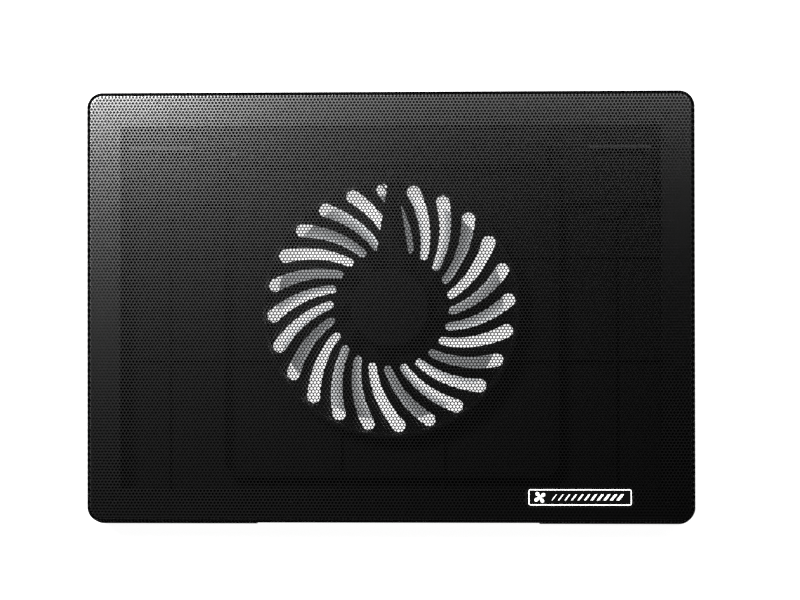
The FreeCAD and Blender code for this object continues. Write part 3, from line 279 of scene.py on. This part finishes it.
def plastic_with_painted_inner_shade(name, colour, roughness, specular):
    """The moulded housing: satin outside, and a coarse matte texture on its inside walls and floor, which
    are also coloured far darker as painted shade. The rear rib under the sheet is spared part of that
    painted shade, as a painted lighter strip.
    """
    g = Graph(name)
    grain = g.noise(2200.0, 4.0, 0.6)
    slow = g.noise(38.0, 2.0)
    _, y, z = g.axes()
    upward = g.upward()
    far_out = g.math("GREATER_THAN", edge_distance(g), OUTER_WALL_START)
    outer_wall = g.math("MULTIPLY", far_out, g.math("LESS_THAN", upward, 0.5))
    at_rear = g.math("GREATER_THAN", y, ROOF_RIB_Y)
    roof_rib = g.math("MULTIPLY", at_rear, g.math("GREATER_THAN", z, ROOF_RIB_Z))
    # The outer wall keeps its full colour. The rear rib keeps part of it, as a painted lighter strip.
    spared_painted_shade = g.math("MAXIMUM", outer_wall, g.math("MULTIPLY", roof_rib, ROOF_RIB_PAINTED_LIGHT))
    # Painted shade: inside faces that look up or sideways are coloured far darker, and made matte.
    matt_and_painted_shade = g.math("SUBTRACT", g.math("GREATER_THAN", upward, -0.2), spared_painted_shade, clamp=True)
    tone = g.blend(matt_and_painted_shade, shade(colour, 1.0), shade(colour, 0.12))
    tone = g.blend(slow, tone, g.blend(matt_and_painted_shade, shade(colour, 1.3), shade(colour, 0.16)))
    shader = g.node("BsdfPrincipled", {
        "Base Color": tone,
        "Roughness": g.math("ADD", g.between(matt_and_painted_shade, roughness, 0.8), g.between(grain, -0.05, 0.05)),
        "Specular IOR Level": g.between(matt_and_painted_shade, specular, 0.05),
        "Normal": g.bump(grain, 0.01 * MM),
    })
    return g.finish(shader.outputs[0])


def metal(name, colour, roughness, stretch=(1.0, 1.0, 1.0), scale=1800.0):
    """Bare metal with fine marks. stretch pulls the marks out along an axis."""
    g = Graph(name)
    mapping = g.node("Mapping", {"Vector": g.place(), "Scale": stretch})
    marks = g.node("TexNoise", {"Vector": mapping.outputs[0], "Scale": scale, "Detail": 4.0}).outputs["Fac"]
    tone = g.blend(marks, shade(colour, 0.78), shade(colour, 1.12))
    shader = g.node("BsdfPrincipled", {
        "Base Color": tone,
        "Metallic": 1.0,
        "Roughness": g.between(marks, roughness - 0.08, roughness + 0.1),
        "Normal": g.bump(marks, 0.006 * MM),
    })
    return g.finish(shader.outputs[0])


def axis_distance(g):
    """Distance from the fan's axis."""
    x, y, _ = g.axes()
    return g.math("SQRT", g.math("ADD", g.math("MULTIPLY", x, x), g.math("MULTIPLY", y, y)))


def laminations(name):
    """The stator core's stacked sheets: fine level lines on its sides."""
    g = Graph(name)
    sheet_thickness = 0.5 * MM
    colour = (0.3, 0.3, 0.32)
    wave = g.math("SINE", g.math("MULTIPLY", g.axes()[2], 2 * math.pi / sheet_thickness))
    line = g.math("GREATER_THAN", wave, 0.8)
    shader = g.node("BsdfPrincipled", {
        "Base Color": g.blend(line, shade(colour, 1.0), shade(colour, 0.3)),
        "Metallic": 0.9,
        "Roughness": g.between(g.noise(900.0), 0.35, 0.55),
    })
    return g.finish(shader.outputs[0])


def wound_copper(name):
    """Enamelled wire wound round each bobbin in close raised turns, with painted shade: the copper is
    coloured darker in the grooves between the turns.
    """
    g = Graph(name)
    wire = 0.28 * MM
    ridge_and_groove_shade = g.math("ABSOLUTE", g.math("SINE", g.math("MULTIPLY", axis_distance(g), math.pi / wire)))
    # Painted shade: the copper is darker in the grooves between turns. The same profile drives the bump.
    tone = g.blend(ridge_and_groove_shade, (0.25, 0.07, 0.02, 1.0), (0.82, 0.33, 0.13, 1.0))
    shader = g.node("BsdfPrincipled", {
        "Base Color": tone,
        "Metallic": 0.85,
        "Roughness": 0.3,
        "Normal": g.bump(ridge_and_groove_shade, 0.1 * MM),
    })
    return g.finish(shader.outputs[0])


def circuit_board(name):
    """Green solder mask with paler copper tracks under it."""
    g = Graph(name)
    cells = g.node("TexVoronoi", {"Vector": g.place(), "Scale": 420.0}, feature="DISTANCE_TO_EDGE")
    track = g.math("LESS_THAN", cells.outputs["Distance"], 0.06)
    shader = g.node("BsdfPrincipled", {
        "Base Color": g.blend(track, (0.012, 0.09, 0.035, 1.0), (0.04, 0.22, 0.09, 1.0)),
        "Roughness": 0.3,
        "Normal": g.bump(track, 0.03 * MM),
    })
    return g.finish(shader.outputs[0])


def chord_share(g, radius):
    """Where a point lies across its blade: 0 at mid-chord, -1 and 1 at the blade's edges."""
    x, y, _ = g.axes()
    angle = g.math("DEGREES", g.math("ARCTAN2", x, y))
    swept = g.math("MULTIPLY", g.math("SUBTRACT", radius, BLADE_MIDDLE_RADIUS), BLADE_SWEEP_PER_M)
    spacing = 360.0 / BLADE_COUNT
    start = BLADE_MIDDLE_ANGLE - spacing / 2
    around = g.math("SUBTRACT", g.math("ADD", angle, swept), start - 360.0)
    from_middle = g.math("SUBTRACT", g.math("MODULO", around, spacing), spacing / 2)
    return g.math("DIVIDE", from_middle, BLADE_HALF_ANGLE)


def smoke_blades(name):
    """See-through smoke plastic, darkest at mid-chord, where a blade is thickest. The hub is solid."""
    g = Graph(name)
    radius = axis_distance(g)
    chord = chord_share(g, radius)
    thin = g.math("MULTIPLY", chord, chord, clamp=True)
    clear = g.between(thin, BLADE_CLEAR_MIDDLE, BLADE_CLEAR_EDGE)
    tint = g.blend(g.noise(120.0), (0.96, 0.98, 1.0, 1.0), (1.0, 1.0, 1.0, 1.0))
    scaled = g.node("VectorMath", {0: tint, 1: clear}, operation="MULTIPLY")
    through = g.node("BsdfTransparent", {"Color": scaled.outputs[0]})
    solid = g.math("LESS_THAN", radius, HUB_RADIUS + HUB_MARGIN)
    surface = g.node("BsdfPrincipled", {
        "Base Color": (0.002, 0.002, 0.0022, 1.0),
        "Roughness": g.math("ADD", g.between(g.noise(300.0), 0.0, 0.1), g.between(solid, 0.5, 0.7)),
        "Specular IOR Level": g.between(solid, 0.12, 0.03),
        "Normal": g.bump(g.noise(60.0), 0.02 * MM),
    })
    share = g.math("MAXIMUM", solid, BLADE_SURFACE_SHARE)
    mixed = g.node("MixShader", {0: share, 1: through.outputs[0], 2: surface.outputs[0]})
    return g.finish(mixed.outputs[0])


def printed_white(name):
    """White ink with a slight grain."""
    g = Graph(name)
    shader = g.node("BsdfPrincipled", {
        "Base Color": g.blend(g.noise(2500.0), (0.72, 0.72, 0.72, 1.0), (0.86, 0.86, 0.85, 1.0)),
        "Roughness": 0.45,
        "Normal": g.bump(g.noise(4000.0), 0.005 * MM),
    })
    return g.finish(shader.outputs[0])


def desk_white(name):
    """The pale studio floor. Seen from below it is clear, so that it never hides the pad's underside."""
    g = Graph(name)
    glow = g.node("Emission", {"Color": (1.0, 1.0, 1.0, 1.0), "Strength": FLOOR_GLOW})
    matte = g.node("BsdfDiffuse", {"Color": shade((1.0, 1.0, 1.0), FLOOR_GREY)})
    lit = g.node("AddShader", {0: glow.outputs[0], 1: matte.outputs[0]})
    clear = g.node("BsdfTransparent")
    below = g.node("NewGeometry").outputs["Backfacing"]
    mixed = g.node("MixShader", {0: below, 1: lit.outputs[0], 2: clear.outputs[0]})
    return g.finish(mixed.outputs[0])


STEEL = (0.58, 0.58, 0.6)
PLASTIC = (0.006, 0.006, 0.0063)
MATERIALS = {
    "sheet_steel": powder_coat("black_powder_coat", (0.0004, 0.0004, 0.00042), 0.18, 1.0, 0.02),
    "badge_gloss": moulded("badge_gloss", (0.0015, 0.0015, 0.0015), 0.2, 900.0, 0.002, 0.3),
    "frame_plastic": moulded("frame_plastic", (0.0006, 0.0006, 0.00063), 0.17, 2600.0, 0.002, 0.12),
    "housing_plastic": plastic_with_painted_inner_shade("housing_plastic", PLASTIC, 0.36, 0.5),
    "bracket_plastic": plastic_with_painted_inner_shade("bracket_plastic", PLASTIC, 0.36, 0.5),
    "sleeve_bronze": metal("sleeve_bronze", (0.55, 0.36, 0.18), 0.4),
    "white_nylon": moulded("white_nylon", (0.62, 0.61, 0.57), 0.4, 1500.0, 0.006),
    "bright_steel": metal("bright_steel", STEEL, 0.28, (1.0, 1.0, 0.2)),
    "board_green": circuit_board("circuit_board"),
    "chip_black": moulded("chip_black", (0.012, 0.012, 0.013), 0.5, 4000.0),
    "core_steel": laminations("core_laminations"),
    "copper_wire": wound_copper("copper_wire"),
    "bonded_magnet": moulded("bonded_magnet", (0.03, 0.027, 0.026), 0.6, 3000.0, 0.02),
    "yoke_steel": metal("yoke_steel", (0.45, 0.45, 0.47), 0.34),
    "smoke_plastic": smoke_blades("smoke_plastic"),
    "switch_plastic": moulded("switch_plastic", (0.008, 0.008, 0.008), 0.38, 3000.0, 0.008),
    "terminal_brass": metal("terminal_brass", (0.72, 0.68, 0.56), 0.3),
    "cable_jacket": moulded("cable_jacket", (0.009, 0.009, 0.009), 0.42, 1600.0, 0.01),
    "grip_plastic": moulded("grip_plastic", (0.010, 0.010, 0.0105), 0.5, 2400.0, 0.015),
    "contact_gold": metal("contact_gold", (0.83, 0.6, 0.2), 0.22, (0.1, 1.0, 1.0)),
    "wire_black": moulded("wire_black", (0.002, 0.002, 0.002), 0.6, 900.0, 0.004, 0.1),
    "leg_plastic": moulded("leg_plastic", (0.011, 0.011, 0.0115), 0.42, 2400.0, 0.01),
    "foot_rubber": moulded("foot_rubber", (0.017, 0.017, 0.018), 0.72, 1400.0, 0.03, 0.3),
    "black_steel": metal("black_zinc", (0.006, 0.006, 0.0065), 0.5),
}


def paint_cad_nodes():
    """Gives each CAD node the material of its slot in the record."""
    for part in frame["record"]["subparts"]:
        node = frame["nodes"][part["node"]]
        node.data.materials.clear()
        node.data.materials.append(MATERIALS[part["material_slot"]])


# ---------------------------------------------------------------- perforated sheet


def mesh_object(name, points, faces, material, sharp_groups=None):
    """A mesh from numpy points and a list of (count, corners) face arrays.

    sharp_groups gives each point a group number. An edge is sharp if both its ends have the same number
    above zero.
    """
    data = bpy.data.meshes.new(name)
    loops = np.concatenate([f.ravel() for f in faces]).astype(np.int32)
    sizes = np.concatenate([np.full(len(f), f.shape[1]) for f in faces]).astype(np.int32)
    starts = np.concatenate([[0], np.cumsum(sizes)[:-1]]).astype(np.int32)
    data.vertices.add(len(points))
    data.vertices.foreach_set("co", points.astype(np.float32).ravel())
    data.loops.add(len(loops))
    data.loops.foreach_set("vertex_index", loops)
    data.polygons.add(len(sizes))
    data.polygons.foreach_set("loop_start", starts)
    data.update(calc_edges=True)
    if sharp_groups is not None:
        ends = np.empty(2 * len(data.edges), dtype=np.int32)
        data.edges.foreach_get("vertices", ends)
        groups = sharp_groups[ends.reshape(-1, 2)]
        sharp = (groups[:, 0] > 0) & (groups[:, 0] == groups[:, 1])
        data.attributes.new("sharp_edge", "BOOLEAN", "EDGE").data.foreach_set("value", sharp)
    data.materials.append(material)
    made = bpy.data.objects.new(name, data)
    bpy.context.scene.collection.objects.link(made)
    return made


def from_box(points, low, high, corner):
    """Distance outside a rounded rectangle and the outward direction at each flat point."""
    core = np.clip(points, low + corner, high - corner)
    away = points - core
    length = np.linalg.norm(away, axis=1)
    direction = away / np.maximum(length, TINY)[:, None]
    return length - corner, direction, core


def fold(points, depth, low, high, top):
    """Flat sheet points laid over the top, the bend and the flange, at a depth below the outer face."""
    corner = CORNER_RADIUS - BEND_RADIUS
    outside, direction, core = from_box(points, low, high, corner)
    arc = math.pi / 2 * BEND_RADIUS
    flange = np.clip(outside - arc, 0.0, None)
    turn = np.clip(outside / BEND_RADIUS, 0.0, math.pi / 2)
    reach = corner + (BEND_RADIUS - depth) * np.sin(turn)
    level = top - BEND_RADIUS + (BEND_RADIUS - depth) * np.cos(turn) - flange
    bent = core + direction * reach[:, None]
    flat = outside <= 0.0
    plan = np.where(flat[:, None], points, bent)
    height = np.where(flat, top - depth, level)
    return np.column_stack([plan, height])


def out_of_window(points, centre, half, corner):
    """Moves flat points that lie in the badge's window to its edge."""
    local = points - centre
    side = np.where(local < 0.0, -1.0, 1.0)
    size = np.abs(local)
    room = half - size
    in_corner = (room < corner).all(axis=1)
    corner_centre = half - corner
    away = size - corner_centre
    length = np.maximum(np.linalg.norm(away, axis=1), TINY)
    inside_corner = in_corner & (length < corner)
    inside_side = (room > 0.0).all(axis=1) & ~in_corner
    moved = size.copy()
    pushed = corner_centre + away * (corner / length)[:, None]
    moved[inside_corner] = pushed[inside_corner]
    nearest = np.argmin(room, axis=1)
    rows = np.nonzero(inside_side)[0]
    moved[rows, nearest[rows]] = half[nearest[rows]]
    return centre + moved * side, inside_corner | inside_side


def hex_corners(radius):
    """The six corners of a six-sided cell with flats to its left and right."""
    turns = np.radians(30.0 + 60.0 * np.arange(6))
    return np.column_stack([np.cos(turns), np.sin(turns)]) * radius


def panel_cells(low, high, flange_end, window):
    """The grid of cells that make up the flat sheet: their centres, their corners and which have a hole."""
    corner = CORNER_RADIUS - BEND_RADIUS
    row_step = PITCH * math.sqrt(3) / 2
    columns = int((high[0] - low[0]) / PITCH / 2) + 8
    rows = int((high[1] - low[1]) / row_step / 2) + 8
    middle_y = (low[1] + high[1]) / 2
    i, j = np.meshgrid(np.arange(-columns, columns + 1), np.arange(-rows, rows + 1))
    i, j = i.ravel(), j.ravel()
    centres = np.column_stack([(i + (j % 2) * 0.5) * PITCH, j * row_step]) + [0.0, middle_y]

    cells = centres[:, None, :] + hex_corners(PITCH / math.sqrt(3))[None]
    outside = from_box(cells.reshape(-1, 2), low, high, corner)[0].reshape(-1, 6)
    in_window = out_of_window(cells.reshape(-1, 2), *window)[1].reshape(-1, 6)
    keep = (outside.min(axis=1) < flange_end - NO_SLIVER) & ~in_window.all(axis=1)
    centres, cells, in_window = centres[keep], cells[keep], in_window[keep]

    centre_outside = from_box(centres, low, high, corner)[0]
    holed = (centre_outside < flange_end - RIM_MARGIN) & ~in_window.any(axis=1)
    return centres, cells, holed


def badge_window():
    """The centre, half size and corner radius of the badge's window in the sheet."""
    low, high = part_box("badge_plate")
    centre = np.array([low.x + high.x, low.y + high.y]) / 2
    half = np.array([high.x - low.x, high.y - low.y]) / 2 + BADGE_GAP
    return centre, half, BADGE_CORNER + BADGE_GAP


def part_of_sheet(piece):
    """Puts a piece in the place of the CAD sheet."""
    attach(piece, "base")
    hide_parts("mesh_panel")


def build_panel():
    """The folded sheet with real holes, in strips, and its cut edges."""
    panel_low, panel_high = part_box("mesh_panel")
    top = panel_high.z
    flange_end = math.pi / 2 * BEND_RADIUS + (top - BEND_RADIUS - panel_low.z)
    low = np.array([panel_low.x, panel_low.y]) + BEND_RADIUS
    high = np.array([panel_high.x, panel_high.y]) - BEND_RADIUS
    window = badge_window()
    centres, cells, holed = panel_cells(low, high, flange_end, window)
    share = (centres[:, 0] - centres[:, 0].min()) / (np.ptp(centres[:, 0]) + TINY)
    strip_of = np.minimum((share * PANEL_STRIPS).astype(int), PANEL_STRIPS - 1)
    for strip in range(PANEL_STRIPS):
        chosen = strip_of == strip
        points, faces, groups = strip_mesh(
            centres[chosen], cells[chosen], holed[chosen], low, high, top, flange_end, window
        )
        name = f"perforated_top_{strip + 1}"
        part_of_sheet(mesh_object(name, points, faces, MATERIALS["sheet_steel"], groups))
    sheet_rims(low, high, top, flange_end, window)


def strip_mesh(centres, cell, holed, low, high, top, flange_end, window):
    """One strip of the sheet: both faces and the holes' walls."""
    corner = CORNER_RADIUS - BEND_RADIUS
    keys = np.round(cell.reshape(-1, 2) / SAME_POINT).astype(np.int64)
    _, first, shared = np.unique(keys, axis=0, return_index=True, return_inverse=True)
    flat = cell.reshape(-1, 2)[first]
    outside, direction, core = from_box(flat, low, high, corner)
    beyond = outside > flange_end
    flat[beyond] = (core + direction * (corner + flange_end))[beyond]
    flat = out_of_window(flat, *window)[0]
    shared = shared.reshape(-1, 6)

    radius = HOLE_ACROSS_FLATS / math.sqrt(3)
    hole = (centres[holed][:, None, :] + hex_corners(radius)[None]).reshape(-1, 2)
    place = (low, high, top)
    layers = [
        (fold(flat, 0.0, *place), 0),
        (fold(hole, 0.0, *place), 1),
        (fold(hole, SHEET, *place), 2),
        (fold(flat, SHEET, *place), 0),
    ]
    points = np.concatenate([layer for layer, _ in layers])
    groups = np.concatenate([np.full(len(layer), group) for layer, group in layers])
    starts = np.cumsum([0] + [len(layer) for layer, _ in layers])

    own = np.arange(len(hole)).reshape(-1, 6)
    outer = shared[holed]
    rings = [outer, own + starts[1], own + starts[2], outer + starts[3]]
    faces = [band(first_ring, second_ring) for first_ring, second_ring in zip(rings, rings[1:])]
    plain = shared[~holed]
    faces += [plain, (plain + starts[3])[:, ::-1]]
    return points, [f for f in faces if len(f)], groups


def band(outer, inner):
    """Four-sided faces between two rings of six points."""
    following = np.roll(np.arange(6), -1)
    return np.stack([outer, outer[:, following], inner[:, following], inner], axis=2).reshape(-1, 4)


def rounded_outline(low, high, corner, steps=8):
    """Flat points round a rounded rectangle, counterclockwise."""
    points = []
    for turn, sign in enumerate(((1, 1), (-1, 1), (-1, -1), (1, -1))):
        centre = np.array([
            high[0] - corner if sign[0] > 0 else low[0] + corner,
            high[1] - corner if sign[1] > 0 else low[1] + corner,
        ])
        for step in range(steps + 1):
            angle = math.radians(90.0 * turn + 90.0 * step / steps)
            points.append(centre + corner * np.array([math.cos(angle), math.sin(angle)]))
    return np.array(points)


def sheet_rims(low, high, top, flange_end, window):
    """The cut edges of the sheet: round its lower rim and round the badge's window."""
    outer = rounded_outline(low - flange_end, high + flange_end, CORNER_RADIUS - BEND_RADIUS + flange_end)
    centre, half, corner = window
    hole = rounded_outline(centre - half, centre + half, corner)
    for name, outline in (("sheet_lower_edge", outer), ("badge_window_edge", hole)):
        count = len(outline)
        points = np.concatenate([fold(outline, 0.0, low, high, top), fold(outline, SHEET, low, high, top)])
        near = np.arange(count)
        far = np.roll(near, -1)
        quads = np.column_stack([near, far, far + count, near + count])
        part_of_sheet(mesh_object(name, points, [quads], MATERIALS["sheet_steel"]))


# ---------------------------------------------------------------- tabs and badge relief


def prism(outline, z0, z1):
    """Points and faces of an upright prism over a counterclockwise outline."""
    count = len(outline)
    points = [(x, y, z0) for x, y in outline] + [(x, y, z1) for x, y in outline]
    faces = [list(range(count, 2 * count)), list(range(count))[::-1]]
    for a in range(count):
        b = (a + 1) % count
        faces.append([a, b, b + count, a + count])
    return points, faces


def joined_prisms(name, outlines, z0, z1, material):
    """One mesh of upright prisms."""
    points, faces = [], []
    for outline in outlines:
        new_points, new_faces = prism(outline, z0, z1)
        faces += [[index + len(points) for index in face] for face in new_faces]
        points += new_points
    data = bpy.data.meshes.new(name)
    data.from_pydata(points, [], faces)
    data.materials.append(material)
    made = bpy.data.objects.new(name, data)
    bpy.context.scene.collection.objects.link(made)
    return made


def hem_tabs():
    """The tabs at the foot of the sheet's flange that are folded in under the support frame."""
    low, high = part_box("mesh_panel")
    middle = (low + high) / 2
    half = (high - low) / 2
    start = half.x - SHEET, half.y - SHEET
    outlines = []
    for side in (-1, 1):
        for y in SIDE_TAB_PLACES:
            ends = middle.x + side * start[0], middle.x + side * (start[0] - TAB_REACH)
            outlines.append(rectangle(min(ends), max(ends), y - TAB_WIDTH / 2, y + TAB_WIDTH / 2))
        for x in END_TAB_PLACES:
            ends = middle.y + side * start[1], middle.y + side * (start[1] - TAB_REACH)
            outlines.append(rectangle(x - TAB_WIDTH / 2, x + TAB_WIDTH / 2, min(ends), max(ends)))
    part_of_sheet(joined_prisms("sheet_hem_tabs", outlines, low.z, low.z + SHEET, MATERIALS["sheet_steel"]))


def rectangle(x0, x1, y0, y1):
    """A counterclockwise rectangle."""
    return [(x0, y0), (x1, y0), (x1, y1), (x0, y1)]


def fan_sign(centre_x, centre_y):
    """The outlines of a small fan sign's blades."""
    outlines = []
    for blade in range(SIGN_BLADES):
        outline = []
        for step in range(SIGN_STEPS + 1):
            share = step / SIGN_STEPS
            angle = math.radians(360.0 / SIGN_BLADES * blade + SIGN_BLADE_TURN * share)
            radius = SIGN_HUB + SIGN_REACH * math.sin(math.pi * share) ** SIGN_ROUNDNESS
            outline.append((centre_x + radius * math.cos(angle), centre_y + radius * math.sin(angle)))
        outline.append((centre_x, centre_y))
        outlines.append(outline)
    return outlines


def slanted_bars(centre_x, centre_y):
    """The outlines of a row of slanted bars, each wider than the last."""
    outlines = []
    for bar in range(BAR_COUNT):
        width = BAR_WIDTH + BAR_GROWTH * bar
        x = centre_x + BAR_START + BAR_STEP * bar
        outlines.append([
            (x - BAR_SLANT, centre_y - BAR_HEIGHT / 2),
            (x - BAR_SLANT + width, centre_y - BAR_HEIGHT / 2),
            (x + BAR_SLANT + width, centre_y + BAR_HEIGHT / 2),
            (x + BAR_SLANT, centre_y + BAR_HEIGHT / 2),
        ])
    return outlines


def badge_relief():
    """Plain raised marks on the badge: a fan sign, a row of slanted bars and a line round them."""
    low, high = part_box("badge_plate")
    centre_x, centre_y = (low.x + high.x) / 2, (low.y + high.y) / 2
    floor = high.z - BADGE_FIELD_DEPTH
    white = printed_white("badge_white")
    outlines = fan_sign(centre_x + SIGN_OFFSET, centre_y) + slanted_bars(centre_x, centre_y)
    marks = joined_prisms("badge_marks", outlines, floor, high.z - MARK_DEPTH, white)
    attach(marks, "base")
    badge_outline(low, high, floor, high.z + OUTLINE_HEIGHT, white)


def badge_outline(low, high, floor, height, material):
    """A white line that caps the badge's raised rim."""
    rings = []
    for margin in (OUTLINE_INSET, OUTLINE_INSET + OUTLINE_WIDTH):
        flat_low = np.array([low.x, low.y]) + margin
        flat_high = np.array([high.x, high.y]) - margin
        rings.append(rounded_outline(flat_low, flat_high, BADGE_CORNER - margin))
    outer, inner = rings
    count = len(outer)
    levels = [(outer, height), (inner, height), (inner, floor), (outer, floor)]
    points = np.concatenate([np.column_stack([ring, np.full(count, z)]) for ring, z in levels])
    near = np.arange(count)
    far = np.roll(near, -1)
    faces = []
    for level in range(len(levels)):
        above, below = level * count, (level + 1) % len(levels) * count
        faces.append(np.column_stack([near + above, far + above, far + below, near + below]))
    outline = mesh_object("badge_outline", points, faces, material)
    outline.data.shade_flat()
    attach(outline, "base")


# ---------------------------------------------------------------- stage


def build_floor():
    """A wide pale floor. When a leg is folded down the floor drops under its tip."""
    bpy.ops.mesh.primitive_circle_add(vertices=96, radius=FLOOR_RADIUS, fill_type="NGON")
    floor = bpy.context.object
    floor.name = "studio_floor"
    floor.data.materials.append(desk_white("desk_white"))
    for side in ("left", "right"):
        tip_low, tip_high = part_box(side + "_foot_tip")
        marker = bpy.data.objects.new(side + "_leg_end", None)
        bpy.context.scene.collection.objects.link(marker)
        marker.location = ((tip_low.x + tip_high.x) / 2, tip_low.y, tip_high.z)
        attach(marker, side + "_leg")
        limit = floor.constraints.new("FLOOR")
        limit.target = marker
        limit.floor_location = "FLOOR_NEGATIVE_Z"


def softbox(name, centre, size, radiance):
    """A rectangular soft light facing straight down. radiance is how bright its face is."""
    data = bpy.data.lights.new(name, "AREA")
    data.shape = "RECTANGLE"
    data.size, data.size_y = size
    data.energy = 4.0 * data.size * data.size_y * radiance
    light = bpy.data.objects.new(name, data)
    bpy.context.scene.collection.objects.link(light)
    light.location = centre
    light.visible_camera = False


def build_world():
    """White to the camera. To the object it is dark overhead and brighter towards the horizon."""
    world = bpy.data.worlds.new("studio")
    world.use_nodes = True
    tree = world.node_tree
    tree.nodes.clear()
    output = tree.nodes.new("ShaderNodeOutputWorld")
    mix = tree.nodes.new("ShaderNodeMixShader")
    path = tree.nodes.new("ShaderNodeLightPath")
    seen = tree.nodes.new("ShaderNodeBackground")
    lit = tree.nodes.new("ShaderNodeBackground")
    seen.inputs["Color"].default_value = (1.0, 1.0, 1.0, 1.0)
    place = tree.nodes.new("ShaderNodeTexCoord")
    split = tree.nodes.new("ShaderNodeSeparateXYZ")
    ramp = tree.nodes.new("ShaderNodeMapRange")
    ramp.inputs["From Max"].default_value = DARK_ABOVE
    ramp.inputs["To Min"].default_value = HORIZON_GLOW
    ramp.inputs["To Max"].default_value = 0.0
    tree.links.new(place.outputs["Generated"], split.inputs[0])
    tree.links.new(split.outputs["Z"], ramp.inputs["Value"])
    tree.links.new(ramp.outputs["Result"], lit.inputs["Strength"])
    tree.links.new(path.outputs["Is Camera Ray"], mix.inputs[0])
    tree.links.new(lit.outputs[0], mix.inputs[1])
    tree.links.new(seen.outputs[0], mix.inputs[2])
    tree.links.new(mix.outputs[0], output.inputs["Surface"])
    bpy.context.scene.world = world


def build_camera():
    """Looks straight down on the pad, but for a small lean to the right."""
    data = bpy.data.cameras.new("camera")
    data.lens = CAMERA_LENS
    data.sensor_width = CAMERA_SENSOR
    camera = bpy.data.objects.new("camera", data)
    bpy.context.scene.collection.objects.link(camera)
    lean = Matrix.Rotation(CAMERA_LEAN, 4, "Y") @ Matrix.Rotation(CAMERA_TIP, 4, "X")
    turn = lean @ Matrix.Rotation(CAMERA_ROLL, 4, "Z")
    camera.matrix_world = Matrix.Translation(CAMERA_AIM) @ turn @ Matrix.Translation((0, 0, CAMERA_DISTANCE))
    bpy.context.scene.camera = camera


paint_cad_nodes()
build_panel()
hem_tabs()
badge_relief()
build_floor()
build_world()
build_camera()
softbox("key_softbox", KEY_PLACE, KEY_SIZE, KEY_RADIANCE)
softbox("rear_softbox", FILL_PLACE, FILL_SIZE, FILL_RADIANCE)
bpy.context.scene.view_settings.view_transform = "Standard"
